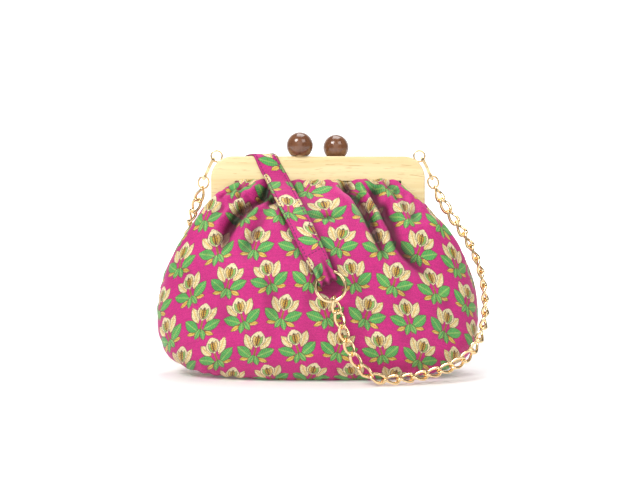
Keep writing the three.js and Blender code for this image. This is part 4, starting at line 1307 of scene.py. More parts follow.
        fall = np.diff(smooth_rows, axis=0)
        fall -= along[1:] * (fall * along[1:]).sum(axis=2, keepdims=True)
        basis = np.stack([np.ones_like(across), across**2, across**4], axis=-1)
        drop = (basis @ np.linalg.lstsq(basis, np.linalg.norm(fall, axis=2).T, rcond=None)[0]).T
        v = -np.concatenate([np.zeros((1, self.columns + 1)), np.cumsum(drop, axis=0)], axis=0)
        rows[..., 1] *= side
        offset = 0.0 if side < 0 else BACK_CUT
        return rows, np.stack([u + offset, v], axis=-1), self.painted_shade_values(pressed)

    def build(self, cloth: Material) -> list[Object]:
        """Models both panels, which meet at the side seams, as thin walls.

        Args:
            cloth: The cloth's material.

        Returns:
            The pouch's pieces.
        """
        pieces = []
        for side in Side:
            where = side.name.lower()
            rows, places, painted_shade_values = self.panel(side)
            panel = grid_object(f"pouch_{where}", rows, places / UV_UNIT_MM, False)
            # The panel's painted shade goes into the point layer.
            painted_shade_layer(panel).data.foreach_set("value", painted_shade_values.astype(np.float32).ravel())
            recalculated(panel, merge=False)
            middle = panel.data.polygons[len(panel.data.polygons) // 2]
            if middle.normal.y * side < 0:
                panel.data.flip_normals()
            wall = panel.modifiers.new("wall", "SOLIDIFY")
            wall.thickness = self.wall * MM * 0.6
            wall.offset = -1.0
            apply_modifiers(panel)
            pieces.append(finish_piece(panel, cloth, BODY, (f"{where}_panel",)))
        return pieces


# ---------------------------------------------------------------- the clasp frame


@dataclass
class Jaw:
    """One wooden jaw of the frame: a flat arch with rounded corners and soft edges."""

    side: Side
    width: float = FRAME_WIDTH
    height: float = FRAME_HEIGHT
    bar: float = BAR_HEIGHT
    leg: float = LEG_WIDTH
    thickness: float = JAW_THICKNESS
    edge: float = 1.7
    outer_foot: float = 3.0
    inner_foot: float = 1.6

    def build(self, wood: Material) -> Object:
        """Models the jaw from a block with its opening cut away.

        Args:
            wood: The wood's material.

        Returns:
            The jaw.
        """
        where = self.side.name.lower()
        deselect()
        middle_y = self.side * (JAW_INNER + self.thickness / 2)
        middle_z = FRAME_TOP - self.height / 2
        bpy.ops.mesh.primitive_cube_add(size=1, location=(0, middle_y * MM, middle_z * MM))
        jaw = bpy.context.object
        jaw.scale = (self.width * MM, self.thickness * MM, self.height * MM)
        settle(jaw)
        inner = self.width / 2 - self.leg
        under = FRAME_TOP - self.bar
        bpy.ops.object.mode_set(mode="EDIT")
        cuts = (((-inner, 0, 0), (1, 0, 0)), ((inner, 0, 0), (1, 0, 0)), ((0, 0, under), (0, 0, 1)))
        for place, normal in cuts:
            bpy.ops.mesh.select_all(action="SELECT")
            bpy.ops.mesh.bisect(plane_co=[part * MM for part in place], plane_no=normal)

        def in_opening(face: bmesh.types.BMFace) -> bool:
            """Says whether a face lies in the opening.

            Args:
                face: The face.

            Returns:
                Whether it does.
            """
            centre = face.calc_center_median() / MM
            flat = abs(face.normal.y) > 0.9 or face.normal.z < -0.9
            return flat and abs(centre.x) < inner - 0.5 and centre.z < under - 0.5

        edit_select(jaw, Element.FACE, in_opening)
        bpy.ops.mesh.delete(type="FACE")

        def on_edge(edge: bmesh.types.BMEdge) -> bool:
            """Says whether an open edge runs along the opening.

            Args:
                edge: The edge.

            Returns:
                Whether it does.
            """
            middle = (edge.verts[0].co + edge.verts[1].co) / 2 / MM
            leg = abs(abs(middle.x) - inner) < 0.1 and middle.z < under - 0.1
            bar = abs(middle.x) < inner - 0.1 and abs(middle.z - under) < 0.1
            return edge.is_boundary and (leg or bar)

        edit_select(jaw, Element.EDGE, on_edge)
        bpy.ops.mesh.bridge_edge_loops()
        bpy.ops.mesh.select_all(action="SELECT")
        bpy.ops.mesh.remove_doubles(threshold=MERGE_DISTANCE)
        bpy.ops.mesh.normals_make_consistent(inside=False)

        def runs_through(edge: bmesh.types.BMEdge, x: float, z: float) -> bool:
            """Says whether an edge runs through the wood at a corner of the outline.

            Args:
                edge: The edge.
                x: How far the corner is from the middle.
                z: Its height.

            Returns:
                Whether it does.
            """
            ends = [vert.co / MM for vert in edge.verts]
            at = all(abs(abs(end.x) - x) < 0.1 and abs(end.z - z) < 0.1 for end in ends)
            return at and abs(ends[0].y - ends[1].y) > 1

        for x, z, radius, segments in (
            (self.width / 2, FRAME_TOP, OUTER_CORNER, 20),
            (inner, under, INNER_CORNER, 12),
            (self.width / 2, LEG_FOOT, self.outer_foot, 5),
            (inner, LEG_FOOT, self.inner_foot, 4),
        ):
            edit_select(jaw, Element.EDGE, lambda edge, x=x, z=z: runs_through(edge, x, z))
            bpy.ops.mesh.bevel(offset=radius * MM, segments=segments, affect="EDGES")
        bpy.ops.object.mode_set(mode="OBJECT")
        rounded(jaw, self.edge, 5, 40.0)
        recalculated(jaw)
        smooth(jaw, 35.0)
        jaw.name = f"wooden_jaw_{where}"
        return finish_piece(jaw, wood, BODY, (f"{where}_jaw",))


@dataclass
class Bead:
    """One of the two kiss-lock beads: a glossy ball that stands on a flat foot with a small collar."""

    side: Side
    radius: float = BEAD_RADIUS
    seat: float = 9.2

    @property
    def centre(self) -> Vector:
        """The ball's centre in millimetres."""
        return Vector((self.side * BEAD_OFFSET, self.side * BEAD_Y, FRAME_TOP + self.seat + SEAM_GAP))

    def build(self, lacquer: Material, gold: Material) -> list[Object]:
        """Models the ball and the collar under it.

        Args:
            lacquer: The bead's material.
            gold: The collar's material.

        Returns:
            The ball and its collar.
        """
        where = self.side.name.lower()
        deselect()
        size = {"radius": self.radius * MM, "location": self.centre * MM}
        bpy.ops.mesh.primitive_uv_sphere_add(segments=96, ring_count=64, **size)
        ball = settle(bpy.context.object)
        foot = self.centre.z - self.seat
        edit_select(ball, Element.VERT, lambda vert: vert.co.z / MM < foot)
        bpy.ops.mesh.delete(type="VERT")
        edit_select(ball, Element.EDGE, lambda edge: edge.is_boundary)
        bpy.ops.mesh.extrude_edges_move()
        height = foot * MM
        edited = bmesh.from_edit_mesh(ball.data)
        for vert in (vert for vert in edited.verts if vert.select):
            flat = Vector((vert.co.x, vert.co.y, 0)) - Vector((self.centre.x, self.centre.y, 0)) * MM
            flat *= BEAD_FOOT_RADIUS * 0.9 * MM / flat.length
            vert.co = Vector((self.centre.x * MM + flat.x, self.centre.y * MM + flat.y, height))
        bmesh.update_edit_mesh(ball.data)
        bpy.ops.mesh.edge_face_add()
        bpy.ops.object.mode_set(mode="OBJECT")
        recalculated(ball)
        smooth(ball, 50.0)
        ball.name = f"lacquered_bead_{where}"
        finish_piece(ball, lacquer, BODY, (f"bead_{where}",))
        place = Vector((self.centre.x, self.centre.y, FRAME_TOP + 0.2))
        collar = cylinder(48, BEAD_FOOT_RADIUS * 0.72, 0.7, place)
        rounded(collar, 0.15, 2)
        recalculated(collar)
        smooth(collar)
        collar.name = f"bead_collar_{where}"
        finish_piece(collar, gold)
        return [ball, collar]


@dataclass
class ScrewEye:
    """A small ring on a threaded shank, screwed into a rounded corner of the back jaw."""

    side: Hand
    radius: float = EYE_RADIUS
    wire: float = EYE_WIRE
    slant: float = EYE_SLANT

    @property
    def way(self) -> Vector:
        """The way that the shank points out of the wood."""
        return Vector((self.side * math.cos(self.slant), 0.0, math.sin(self.slant)))

    @property
    def centre(self) -> Vector:
        """The ring's centre in millimetres."""
        x = self.side * (FRAME_WIDTH / 2 - OUTER_CORNER)
        corner = Vector((x, JAW_INNER + JAW_THICKNESS / 2, FRAME_TOP - OUTER_CORNER))
        return corner + self.way * (OUTER_CORNER + EYE_STANDOFF)

    def build(self, gold: Material) -> Object:
        """Models the ring, its shank and the collar where it meets the wood.

        Args:
            gold: The metal's material.

        Returns:
            The screw eye.
        """
        where = self.side.name.lower()
        parts = [torus(self.centre, Vector((0, 1, 0)), self.radius, self.wire / 2, 64, 20)]
        length = EYE_STANDOFF - self.radius + 6.0
        turn = Vector((0, 0, 1)).rotation_difference(self.way).to_euler()
        for radius, long, start in ((self.wire / 2, length, self.radius), (1.9, 0.9, EYE_STANDOFF - 0.75)):
            middle = self.centre - self.way * (start + long / 2)
            shank = cylinder(32, radius, long, middle, turn)
            rounded(shank, min(radius, long) * 0.3, 3)
            parts.append(shank)
        eye = joined(parts, f"screw_eye_{where}")
        recalculated(eye, merge=False)
        smooth(eye)
        return finish_piece(eye, gold, BODY, (f"eye_{where}",))


def torus(centre: Vector, axis: Vector, radius: float, wire: float, around: int, section: int) -> Object:
    """Adds a round ring of wire.

    Args:
        centre: Its centre in millimetres.
        axis: The way that it faces.
        radius: From its centre to the wire's centre.
        wire: The wire's radius.
        around: Its segments around.
        section: The wire's segments.

    Returns:
        The ring, settled.
    """
    deselect()
    turn = Vector((0, 0, 1)).rotation_difference(axis.normalized()).to_euler()
    bpy.ops.mesh.primitive_torus_add(
        location=centre * MM,
        rotation=turn,
        major_radius=radius * MM,
        minor_radius=wire * MM,
        major_segments=around,
        minor_segments=section,
    )
    return settle(bpy.context.object)


# ---------------------------------------------------------------- strap and chains


@dataclass
class Curve:
    """A smooth curve through points, walked by its length in millimetres."""

    points: np.ndarray
    lengths: np.ndarray

    @classmethod
    def through(cls, controls: Sequence[Sequence[float]], per_span: int = 80) -> "Curve":
        """Makes a centripetal curve through control points.

        Args:
            controls: The points.
            per_span: The samples between two of them.

        Returns:
            The curve.
        """
        p = np.array(controls, dtype=float)
        padded = np.concatenate([[2 * p[0] - p[1]], p, [2 * p[-1] - p[-2]]])
        share = np.linspace(0.0, 1.0, per_span, endpoint=False)[:, None]
        spans = []
        for a, b, c, d in zip(padded[:-3], padded[1:-2], padded[2:-1], padded[3:]):
            steps = (b - a, c - b, d - c)
            before, during, after = (math.sqrt(np.linalg.norm(step)) for step in steps)
            leave = ((b - a) / before - (c - a) / (before + during) + (c - b) / during) * during
            arrive = ((c - b) / during - (d - b) / (during + after) + (d - c) / after) * during
            cubic = 2 * b - 2 * c + leave + arrive
            square = -3 * b + 3 * c - 2 * leave - arrive
            spans.append(cubic * share**3 + square * share**2 + leave * share + b)
        dense = np.concatenate([*spans, p[-1:]])
        lengths = np.linalg.norm(np.diff(dense, axis=0), axis=1)
        return cls(dense, np.concatenate([[0.0], np.cumsum(lengths)]))

    @property
    def length(self) -> float:
        """The curve's whole length."""
        return float(self.lengths[-1])

    def at(self, distance: float) -> Vector:
        """Finds the point at a distance along the curve."""
        return Vector([float(np.interp(distance, self.lengths, self.points[:, axis])) for axis in range(3)])

    def way(self, distance: float) -> Vector:
        """Finds the way that the curve runs at a distance along it."""
        low, high = max(distance - 0.5, 0.0), min(distance + 0.5, self.length)
        return (self.at(high) - self.at(low)).normalized()


# Rows of x, z and how far the band hangs clear of what is under it.
STRAP_FRONT = (
    (5.5, 94, 3), (2, 101.5, 2.4), (-6, 116, 2), (-15.5, 136, 0.4), (-23.5, 151, 0.8),
    (-30, 163, 1.5), (-36, 174, 1.4), (-42, 185, 0),
)
STRAP_BACK = (
    (-60, 185, 0), (-64, 175, 1.4), (-67, 163, 2.5), (-69.5, 150, 1.5), (-70.5, 134, 0.8),
    (-70.5, 112, 0.6), (-69, 88, 0.6), (-67, 62, 1.5), (-65, 42, 4), (-63.5, 23, 10),
)
STRAP_FLOOR = ((-62.5, 66, 11.5), (-62, 72.5, 6.6), (-61.5, 78.5, 4.6), (-61, 86, 4.5))

# Rows of x, y, z and the way that the chain's flat side faces there, from the clasp to the ring.
RIGHT_ROUTE = (
    (106.5, 6, 163, 0.1, -1, 0), (112, 5, 152.5, 0.2, -1, 0.1), (119, 3, 141.5, 0.4, -1, 0.2),
    (127, -0.5, 129.5, 0.8, -0.8, 0.3), (134, -4, 117, 1, -0.5, 0.3),
    (140, -7.5, 103, 1, -0.3, 0.2), (144, -11, 88.5, 1, -0.2, 0), (146, -14, 73, 1, -0.3, 0),
    (146, -17.5, 57, 1, -0.4, 0), (142.5, -22.5, 41.5, 1, -0.6, -0.1),
    (134.5, -30.5, 27.5, 0.8, -0.8, 0), (121, -39.5, 17, 0.5, -0.8, 0.4),
    (105, -46, 11.5, 0.2, -0.7, 0.7), (87, -50.5, 7.5, 0, -0.6, 0.8),
    (69, -54.5, 5.4, 0, -0.5, 0.9), (52, -58.5, 5.6, -0.2, -0.8, 0.6), (39, -61, 12, -0.2, -1, 0.2),
    (30.5, -62, 23, 0, -1, 0), (24.5, -62, 36, 0, -1, 0), (20, -62, 49, 0, -1, 0),
    (16.5, -61.5, 61, 0, -1, 0),
)
LEFT_ROUTE = (
    (-105, 8, 162, -0.1, -1, 0), (-110.5, 12.5, 150, -0.3, -1, 0),
    (-116, 19.5, 138, -0.9, -0.5, 0.2), (-120.5, 27.5, 123, -1, 0.3, 0.3),
    (-124, 33, 107, -1, 0.4, 0.2), (-126, 35, 90, -1, 0.5, 0), (-128, 39, 73, -1, 0.6, 0),
    (-128.5, 41.5, 57, -1, 0.6, 0), (-128, 45.5, 42, -1, 0.5, 0), (-128.5, 51, 28, -1, 0.2, 0.2),
    (-131.5, 60, 15, -0.9, 0, 0.6), (-139, 72, 6.6, -0.5, 0, 0.9), (-143.5, 87, 4.8, 0, 0, 1),
    (-145, 103, 4.8, 0, 0, 1), (-140, 120, 4.8, 0, 0, 1), (-127, 133, 4.8, 0, 0, 1),
    (-110, 138, 4.8, 0, 0, 1), (-92, 136, 4.8, 0, 0, 1), (-77, 127, 5.6, 0, 0, 1),
    (-68.5, 117, 7.6, 0, 0, 1),
)


@dataclass(frozen=True)
class StrapEnd:
    """Where the band turns round a ring, and how that ring lies."""

    point: Vector
    reach: Vector
    normal: Vector

    @property
    def beside(self) -> Vector:
        """The way across the band."""
        return self.reach.cross(self.normal)

    @property
    def centre(self) -> Vector:
        """The ring's centre."""
        return self.point + self.reach * RING_CENTRELINE

    def bearing(self, degrees: float) -> Vector:
        """Finds where a chain's last link bears in the ring."""
        inner = RING_CENTRELINE - RING_WIRE / 2 - LINK_WIRE / 2 - SEAM_GAP
        angle = math.radians(degrees)
        return self.centre + (self.reach * math.cos(angle) + self.beside * math.sin(angle)) * inner


@dataclass(frozen=True)
class Station:
    """One cross-section of the band."""

    point: Vector
    along: Vector
    normal: Vector
    width: float
    gathered: float
    level: float
    # Painted shade on this section, from 0 to 1.
    shade: float = 0.0


@dataclass
class StrapBand:
    """The cloth band with an O-ring in each folded end, laid over the pouch and the wooden bars."""

    pouch: Sequence[Object]
    width: float = STRAP_WIDTH
    fold_width: float = STRAP_FOLD_WIDTH + 4.0
    slack: float = 4.5
    thickness: float = STRAP_THICKNESS
    turned_end: float = STRAP_TURNED_END
    step: float = 1.3
    across: int = 26
    opens: float = 13.0  # how far from a ring its two layers have come together
    gathers: float = 17.0  # how far from a ring it has its full width
    hem: float = 2.0
    stitch_radius: float = 0.52
    stitch_length: float = 1.7
    stitch_step: float = 3.1
    tree: BVHTree = field(init=False)
    curve: Curve = field(init=False)

    def __post_init__(self) -> None:
        """Feels the pouch and lays the band's centreline."""
        points: list[Vector] = []
        faces: list[list[int]] = []
        for piece in self.pouch:
            start = len(points)
            points += [vert.co / MM for vert in piece.data.vertices]
            faces += [[start + index for index in face.vertices] for face in piece.data.polygons]
        self.tree = BVHTree.FromPolygons(points, faces)
        self.curve = self.centreline()

    def stands_out(self, side: Side, x: float, z: float) -> float:
        """Finds how far the cloth or the wood under the band stands out.

        Args:
            side: Whether it is in front or behind.
            x: The place across.
            z: The height.

        Returns:
            The distance from the middle plane.
        """
        found = [JAW_OUTER if z > LEG_FOOT else 0.0]
        for share in (-0.55, -0.35, -0.15, 0.0, 0.15, 0.35, 0.55):
            origin = Vector((x + share * self.width, side * POUCH_DEPTH, z))
            hit = self.tree.ray_cast(origin, Vector((0, -side, 0)))[0]
            if hit is not None:
                found.append(side * hit.y)
        return max(found)

    def centreline(self) -> Curve:
        """Lays the centreline from the front ring over the bars to the back ring.

        Returns:
            The curve.
        """
        lie = self.thickness / 2 + STRAP_REST

        def placed(row: Sequence[float], side: Side) -> Triple:
            """Lays one row of a route on what is under it.

            Args:
                row: Its x, z and how far the band hangs clear.
                side: Whether it is in front or behind.

            Returns:
                The point.
            """
            x, z, lift = row
            slope = abs(self.stands_out(side, x, z + 4) - self.stands_out(side, x, z - 4)) / 8
            return x, side * (self.stands_out(side, x, z) + lie * math.hypot(1, slope) + lift), z

        corner = EDGE_ROUND + lie
        edge_y, edge_z = JAW_OUTER - EDGE_ROUND, FRAME_TOP - EDGE_ROUND
        turns = (0, math.pi / 4, math.pi / 2)
        bends = [(edge_y + corner * math.cos(turn), edge_z + corner * math.sin(turn)) for turn in turns]
        over = [(-y, z) for y, z in bends] + bends[::-1]
        ends = [(-self.stands_out(Side.FRONT, *STRAP_FRONT[-1][:2]) - lie, STRAP_FRONT[-1][1])]
        ends += over + [(self.stands_out(Side.BACK, *STRAP_BACK[0][:2]) + lie, STRAP_BACK[0][1])]
        done = np.concatenate([[0.0], np.cumsum([math.dist(a, b) for a, b in zip(ends, ends[1:])])])
        across = np.interp(done, [0.0, done[-1]], [STRAP_FRONT[-1][0], STRAP_BACK[0][0]])
        points = [placed(row, Side.FRONT) for row in STRAP_FRONT]
        points += [(float(x), y, z) for x, (y, z) in zip(across[1:-1], over)]
        points += [placed(row, Side.BACK) for row in STRAP_BACK]
        points += [tuple(map(float, row)) for row in STRAP_FLOOR]
        return Curve.through(points)

    def outwards(self, point: Vector) -> Vector:
        """Finds the way out from whatever is under the band.

        Args:
            point: A place on the centreline.

        Returns:
            The unit direction.
        """
        sign = 1.0 if point.y > 0 else -1.0
        low = float(1 - smoothstep(4.0, 24.0, np.float64(point.z))) if point.y > 0 else 0.0
        normal = Vector((0, sign * (1 - low), low))
        if point.z > FRAME_TOP - EDGE_ROUND:
            past = max(abs(point.y) - JAW_OUTER + EDGE_ROUND, 0.0)
            normal = Vector((0, sign * past, point.z - FRAME_TOP + EDGE_ROUND))
        return normal.normalized()

    def end(self, side: Side) -> StrapEnd:
        """Finds how one end meets its ring.

        Args:
            side: Which end it is.

        Returns:
            The end.
        """
        distance = 0.0 if side is Side.FRONT else self.curve.length
        point = self.curve.at(distance)
        reach = self.curve.way(distance) * side
        normal = self.outwards(point)
        return StrapEnd(point, reach, (normal - reach * normal.dot(reach)).normalized())

    def station(self, distance: float, side: Side) -> Station:
        """Makes a cross-section between the rings.

        Args:
            distance: How far it is from its end.
            side: Which end that is.

        Returns:
            The section.
        """
        at = distance if side is Side.FRONT else self.curve.length - distance
        near = np.float64(distance)
        wider = float(smoothstep(2.0, self.gathers, near))
        width = self.fold_width + (self.width - self.fold_width) * wider
        spread = 1 - float(smoothstep(1.0, self.opens, near))
        point = self.curve.at(at)
        normal = self.outwards(point)
        gathered = 1 - float(smoothstep(0.0, self.gathers, near))
        level = float(smoothstep(self.gathers, 40.0, near))
        point = point + normal * spread * FOLD_RADIUS
        return Station(point, self.curve.way(at), normal, width, gathered, level)

    def fold(self, side: Side) -> list[Station]:
        """Makes the cross-sections of one end, from its turned-under tip round its ring.

        Args:
            side: Which end it is.

        Returns:
            The sections.
        """
        end = self.end(side)
        stations = []
        for distance in np.linspace(self.turned_end, 2.2, 14):
            base = self.station(float(distance), side)
            spread = 1 - float(smoothstep(1.0, self.opens, np.float64(distance)))
            closed = self.thickness + SEAM_GAP
            drop = closed + spread * (2 * FOLD_RADIUS - closed)
            point = base.point - base.normal * drop
            along = base.along * side
            # The turned-under layer gets painted shade of 0.9.
            stations.append(Station(point, along, -base.normal, base.width, base.gathered, 0.0, 0.9))
        heart = end.point + end.reach * (RING_SAG + self.slack)
        for share in np.linspace(-0.5, 0.5, 15):
            across, out = math.sin(share * math.pi), math.cos(share * math.pi)
            normal = end.normal * across + end.reach * out
            along = end.normal * out - end.reach * across
            point = heart + normal * FOLD_RADIUS
            # Painted shade, darkest at the outermost point of the turn round the ring.
            stations.append(Station(point, along, normal, self.fold_width, 1.0, 0.0, 0.9 * out))
        return stations

    def stations(self) -> list[Station]:
        """Makes all the cross-sections from one turned-under tip to the other.

        Returns:
            The sections in order.
        """
        total = self.curve.length
        middle = []
        for done in np.arange(2.6, total - 2.6, self.step):
            side = Side.FRONT if done < total / 2 else Side.BACK
            middle.append(self.station(float(min(done, total - done)), side))
        turned = [replace(station, along=-station.along) for station in reversed(self.fold(Side.BACK))]
        return [*self.fold(Side.FRONT), *middle, *turned]

    def surface(self) -> tuple[np.ndarray, np.ndarray, np.ndarray, list[tuple[Vector, Vector, Vector]]]:
        """Makes the band's points, its cloth map, its painted shade and the frames that its stitches
        follow.

        Returns:
            Rows by columns of points, of map places and of painted shade, and, for each row, its middle,
            its way across and its way out.
        """
        half = self.across
        shares = np.concatenate([np.linspace(-1, 1, half), np.linspace(1, -1, half)])
        sides = np.concatenate([np.ones(half), -np.ones(half)])
        rows, places, frames, painted_shade_values = [], [], [], []
        run = 0.0
        before = None
        for station in self.stations():
            beside = station.along.cross(station.normal).normalized()
            out = beside.cross(station.along).normalized()
            level = Vector((1 / beside.x, 0, 0)) if abs(beside.x) > 0.3 else beside
            beside = beside.lerp(level, station.level)
            run += (station.point - before).length if before is not None else 0.0
            before = station.point
            edge = np.sqrt(np.clip(1 - np.abs(shares) ** 14, 0.0, 1.0))
            inset = np.abs(shares) * station.width / 2 - station.width / 2 + self.hem
            seam = np.exp(-((inset / 0.6) ** 2))
            pillow = 0.16 * np.cos(shares * math.pi / 2)
            pleat = station.gathered * 0.85 * np.cos(shares * math.pi * 2.5) * (1 - 0.3 * np.abs(shares))
            slack = 0.28 * (1 - station.gathered) * math.sin(run * 0.115 + 0.8) * shares
            thick = sides * (self.thickness / 2 * edge + pillow - 0.22 * seam) + pleat + slack
            offset = shares * station.width / 2
            row = [list(station.point + beside * float(a) + out * float(b)) for a, b in zip(offset, thick)]
            rows.append(row)
            # Painted shade: darker in the valleys of the gathered pleats, along the band's edges and where
            # a section has its own shade.
            valley = 0.5 - 0.5 * np.cos(shares * math.pi * 2.5)
            rim = smoothstep(0.86, 1.0, np.abs(shares))
            painted_shade_values.append(np.clip(0.85 * station.gathered * valley + 0.55 * rim + station.shade, 0.0, 1.0))
            cut = np.append(np.where(sides > 0, offset, offset + 60), offset[0])
            places.append(np.stack([cut, np.full(2 * half + 1, run)], axis=-1))
            frames.append((station.point, beside, out))
        return np.array(rows), np.array(places) + STRAP_CUT, np.array(painted_shade_values), frames

    def build(self, cloth: Material, thread: Material) -> list[Object]:
        """Models the band and its stitching.

        Args:
            cloth: The cloth's material.
            thread: The thread's material.

        Returns:
            The band and its stitches.
        """
        points, places, painted_shade_values, frames = self.surface()
        band = grid_object("cloth_strap", points, places / UV_UNIT_MM, True)
        # The band's painted shade goes into the point layer.
        painted_shade_layer(band).data.foreach_set("value", painted_shade_values.ravel().astype(np.float32))
        edit_select(band, Element.EDGE, lambda edge: edge.is_boundary)
        bpy.ops.mesh.edge_face_add()
        bpy.ops.mesh.select_all(action="SELECT")
        bpy.ops.mesh.normals_make_consistent(inside=False)
        bpy.ops.object.mode_set(mode="OBJECT")
        smooth(band, 60.0)
        finish_piece(band, cloth, BODY, ("strap_band",))
        stitches = self.stitches(points, frames)
        finish_piece(stitches, thread)
        return [band, stitches]

    def stitches(self, points: np.ndarray, frames: list[tuple[Vector, Vector, Vector]]) -> Object:
        """Sews a row of stitches along each edge and one across near each ring.

        Args:
            points: The band's points.
            frames: Each row's middle, way across and way out.

        Returns:
            All the stitches as one piece.
        """
        half = self.across
        stitch = cylinder(8, self.stitch_radius, self.stitch_length)
        rounded(stitch, 0.16, 2)
        copies = []
        shares = np.linspace(-1, 1, half)

        def sew(middle: Vector, along: Vector) -> None:
            """Adds one stitch.

            Args:
                middle: Its middle in millimetres.
                along: The way that it lies.
            """
            turn = Vector((0, 0, 1)).rotation_difference(along.normalized())
            copy = stitch.copy()
            copy.data = stitch.data.copy()
            copy.data.transform(Matrix.Translation(middle * MM) @ turn.to_matrix().to_4x4())
            bpy.context.scene.collection.objects.link(copy)
            copies.append(copy)

        first, last = 32, len(frames) - 32
        width = self.width / 2
        column = 1 - self.hem / width
        for sign in (-1, 1):
            index = int(np.argmin(np.abs(shares - sign * column)))
            line = [Vector(points[row][index]) + frames[row][2] * 0.05 for row in range(first, last)]
            steps = [0.0]
            for here, there in zip(line, line[1:]):
                steps.append(steps[-1] + (there - here).length)
            for distance in np.arange(1.0, steps[-1], self.stitch_step):
                at = int(np.searchsorted(steps, distance)) - 1
                at = min(max(at, 0), len(line) - 2)
                share = (distance - steps[at]) / max(steps[at + 1] - steps[at], 1e-6)
                sew(line[at].lerp(line[at + 1], float(share)), line[at + 1] - line[at])
        for row in (42, len(frames) - 42):
            for index in range(3, half - 3, 4):
                sew(Vector(points[row][index]) + frames[row][2] * 0.05, frames[row][1])
        bpy.data.objects.remove(stitch)
        return joined(copies, "strap_stitches")

    def shade_cloth(self, amount: float = 0.6, reach: float = 3.2) -> None:
        """Darkens the pouch's cloth close beside the band, where little light falls.

        Args:
            amount: How dark the cloth is right at the band's edge.
            reach: How far the shade spreads, in millimetres.
        """
        line = np.array([list(station.point) for station in self.stations()])[::2]
        for side, piece in zip(Side, self.pouch):
            places = np.empty(len(piece.data.vertices) * 3, dtype=np.float32)
            piece.data.vertices.foreach_get("co", places)
            places = places.reshape(-1, 3)[:, ::2] / MM
            nearest = np.full(len(places), 1e9)
            for point in line[line[:, 1] * side > 0]:
                nearest = np.minimum(nearest, np.hypot(*(places - point[::2]).T))
            shade = amount * np.exp(-((np.maximum(nearest - self.width / 2, 0.0) / reach) ** 2))
            layer = painted_shade_layer(piece)
            values = np.empty(len(places), dtype=np.float32)
            layer.data.foreach_get("value", values)
            layer.data.foreach_set("value", np.maximum(values, shade).astype(np.float32))

    def rings(self, gold: Material) -> list[Object]:
        """Models the two O-rings.

        Args:
            gold: The metal's material.

        Returns:
            The rings.
        """
        made = []
        for side in Side:
            where = side.name.lower()
            end = self.end(side)
            ring = torus(end.centre, end.normal, RING_CENTRELINE, RING_WIRE / 2 + 0.2, 128, 32)
            ring.name = f"strap_ring_{where}"
            smooth(ring)
            made.append(finish_piece(ring, gold, BODY, (f"ring_{where}",)))
        return made


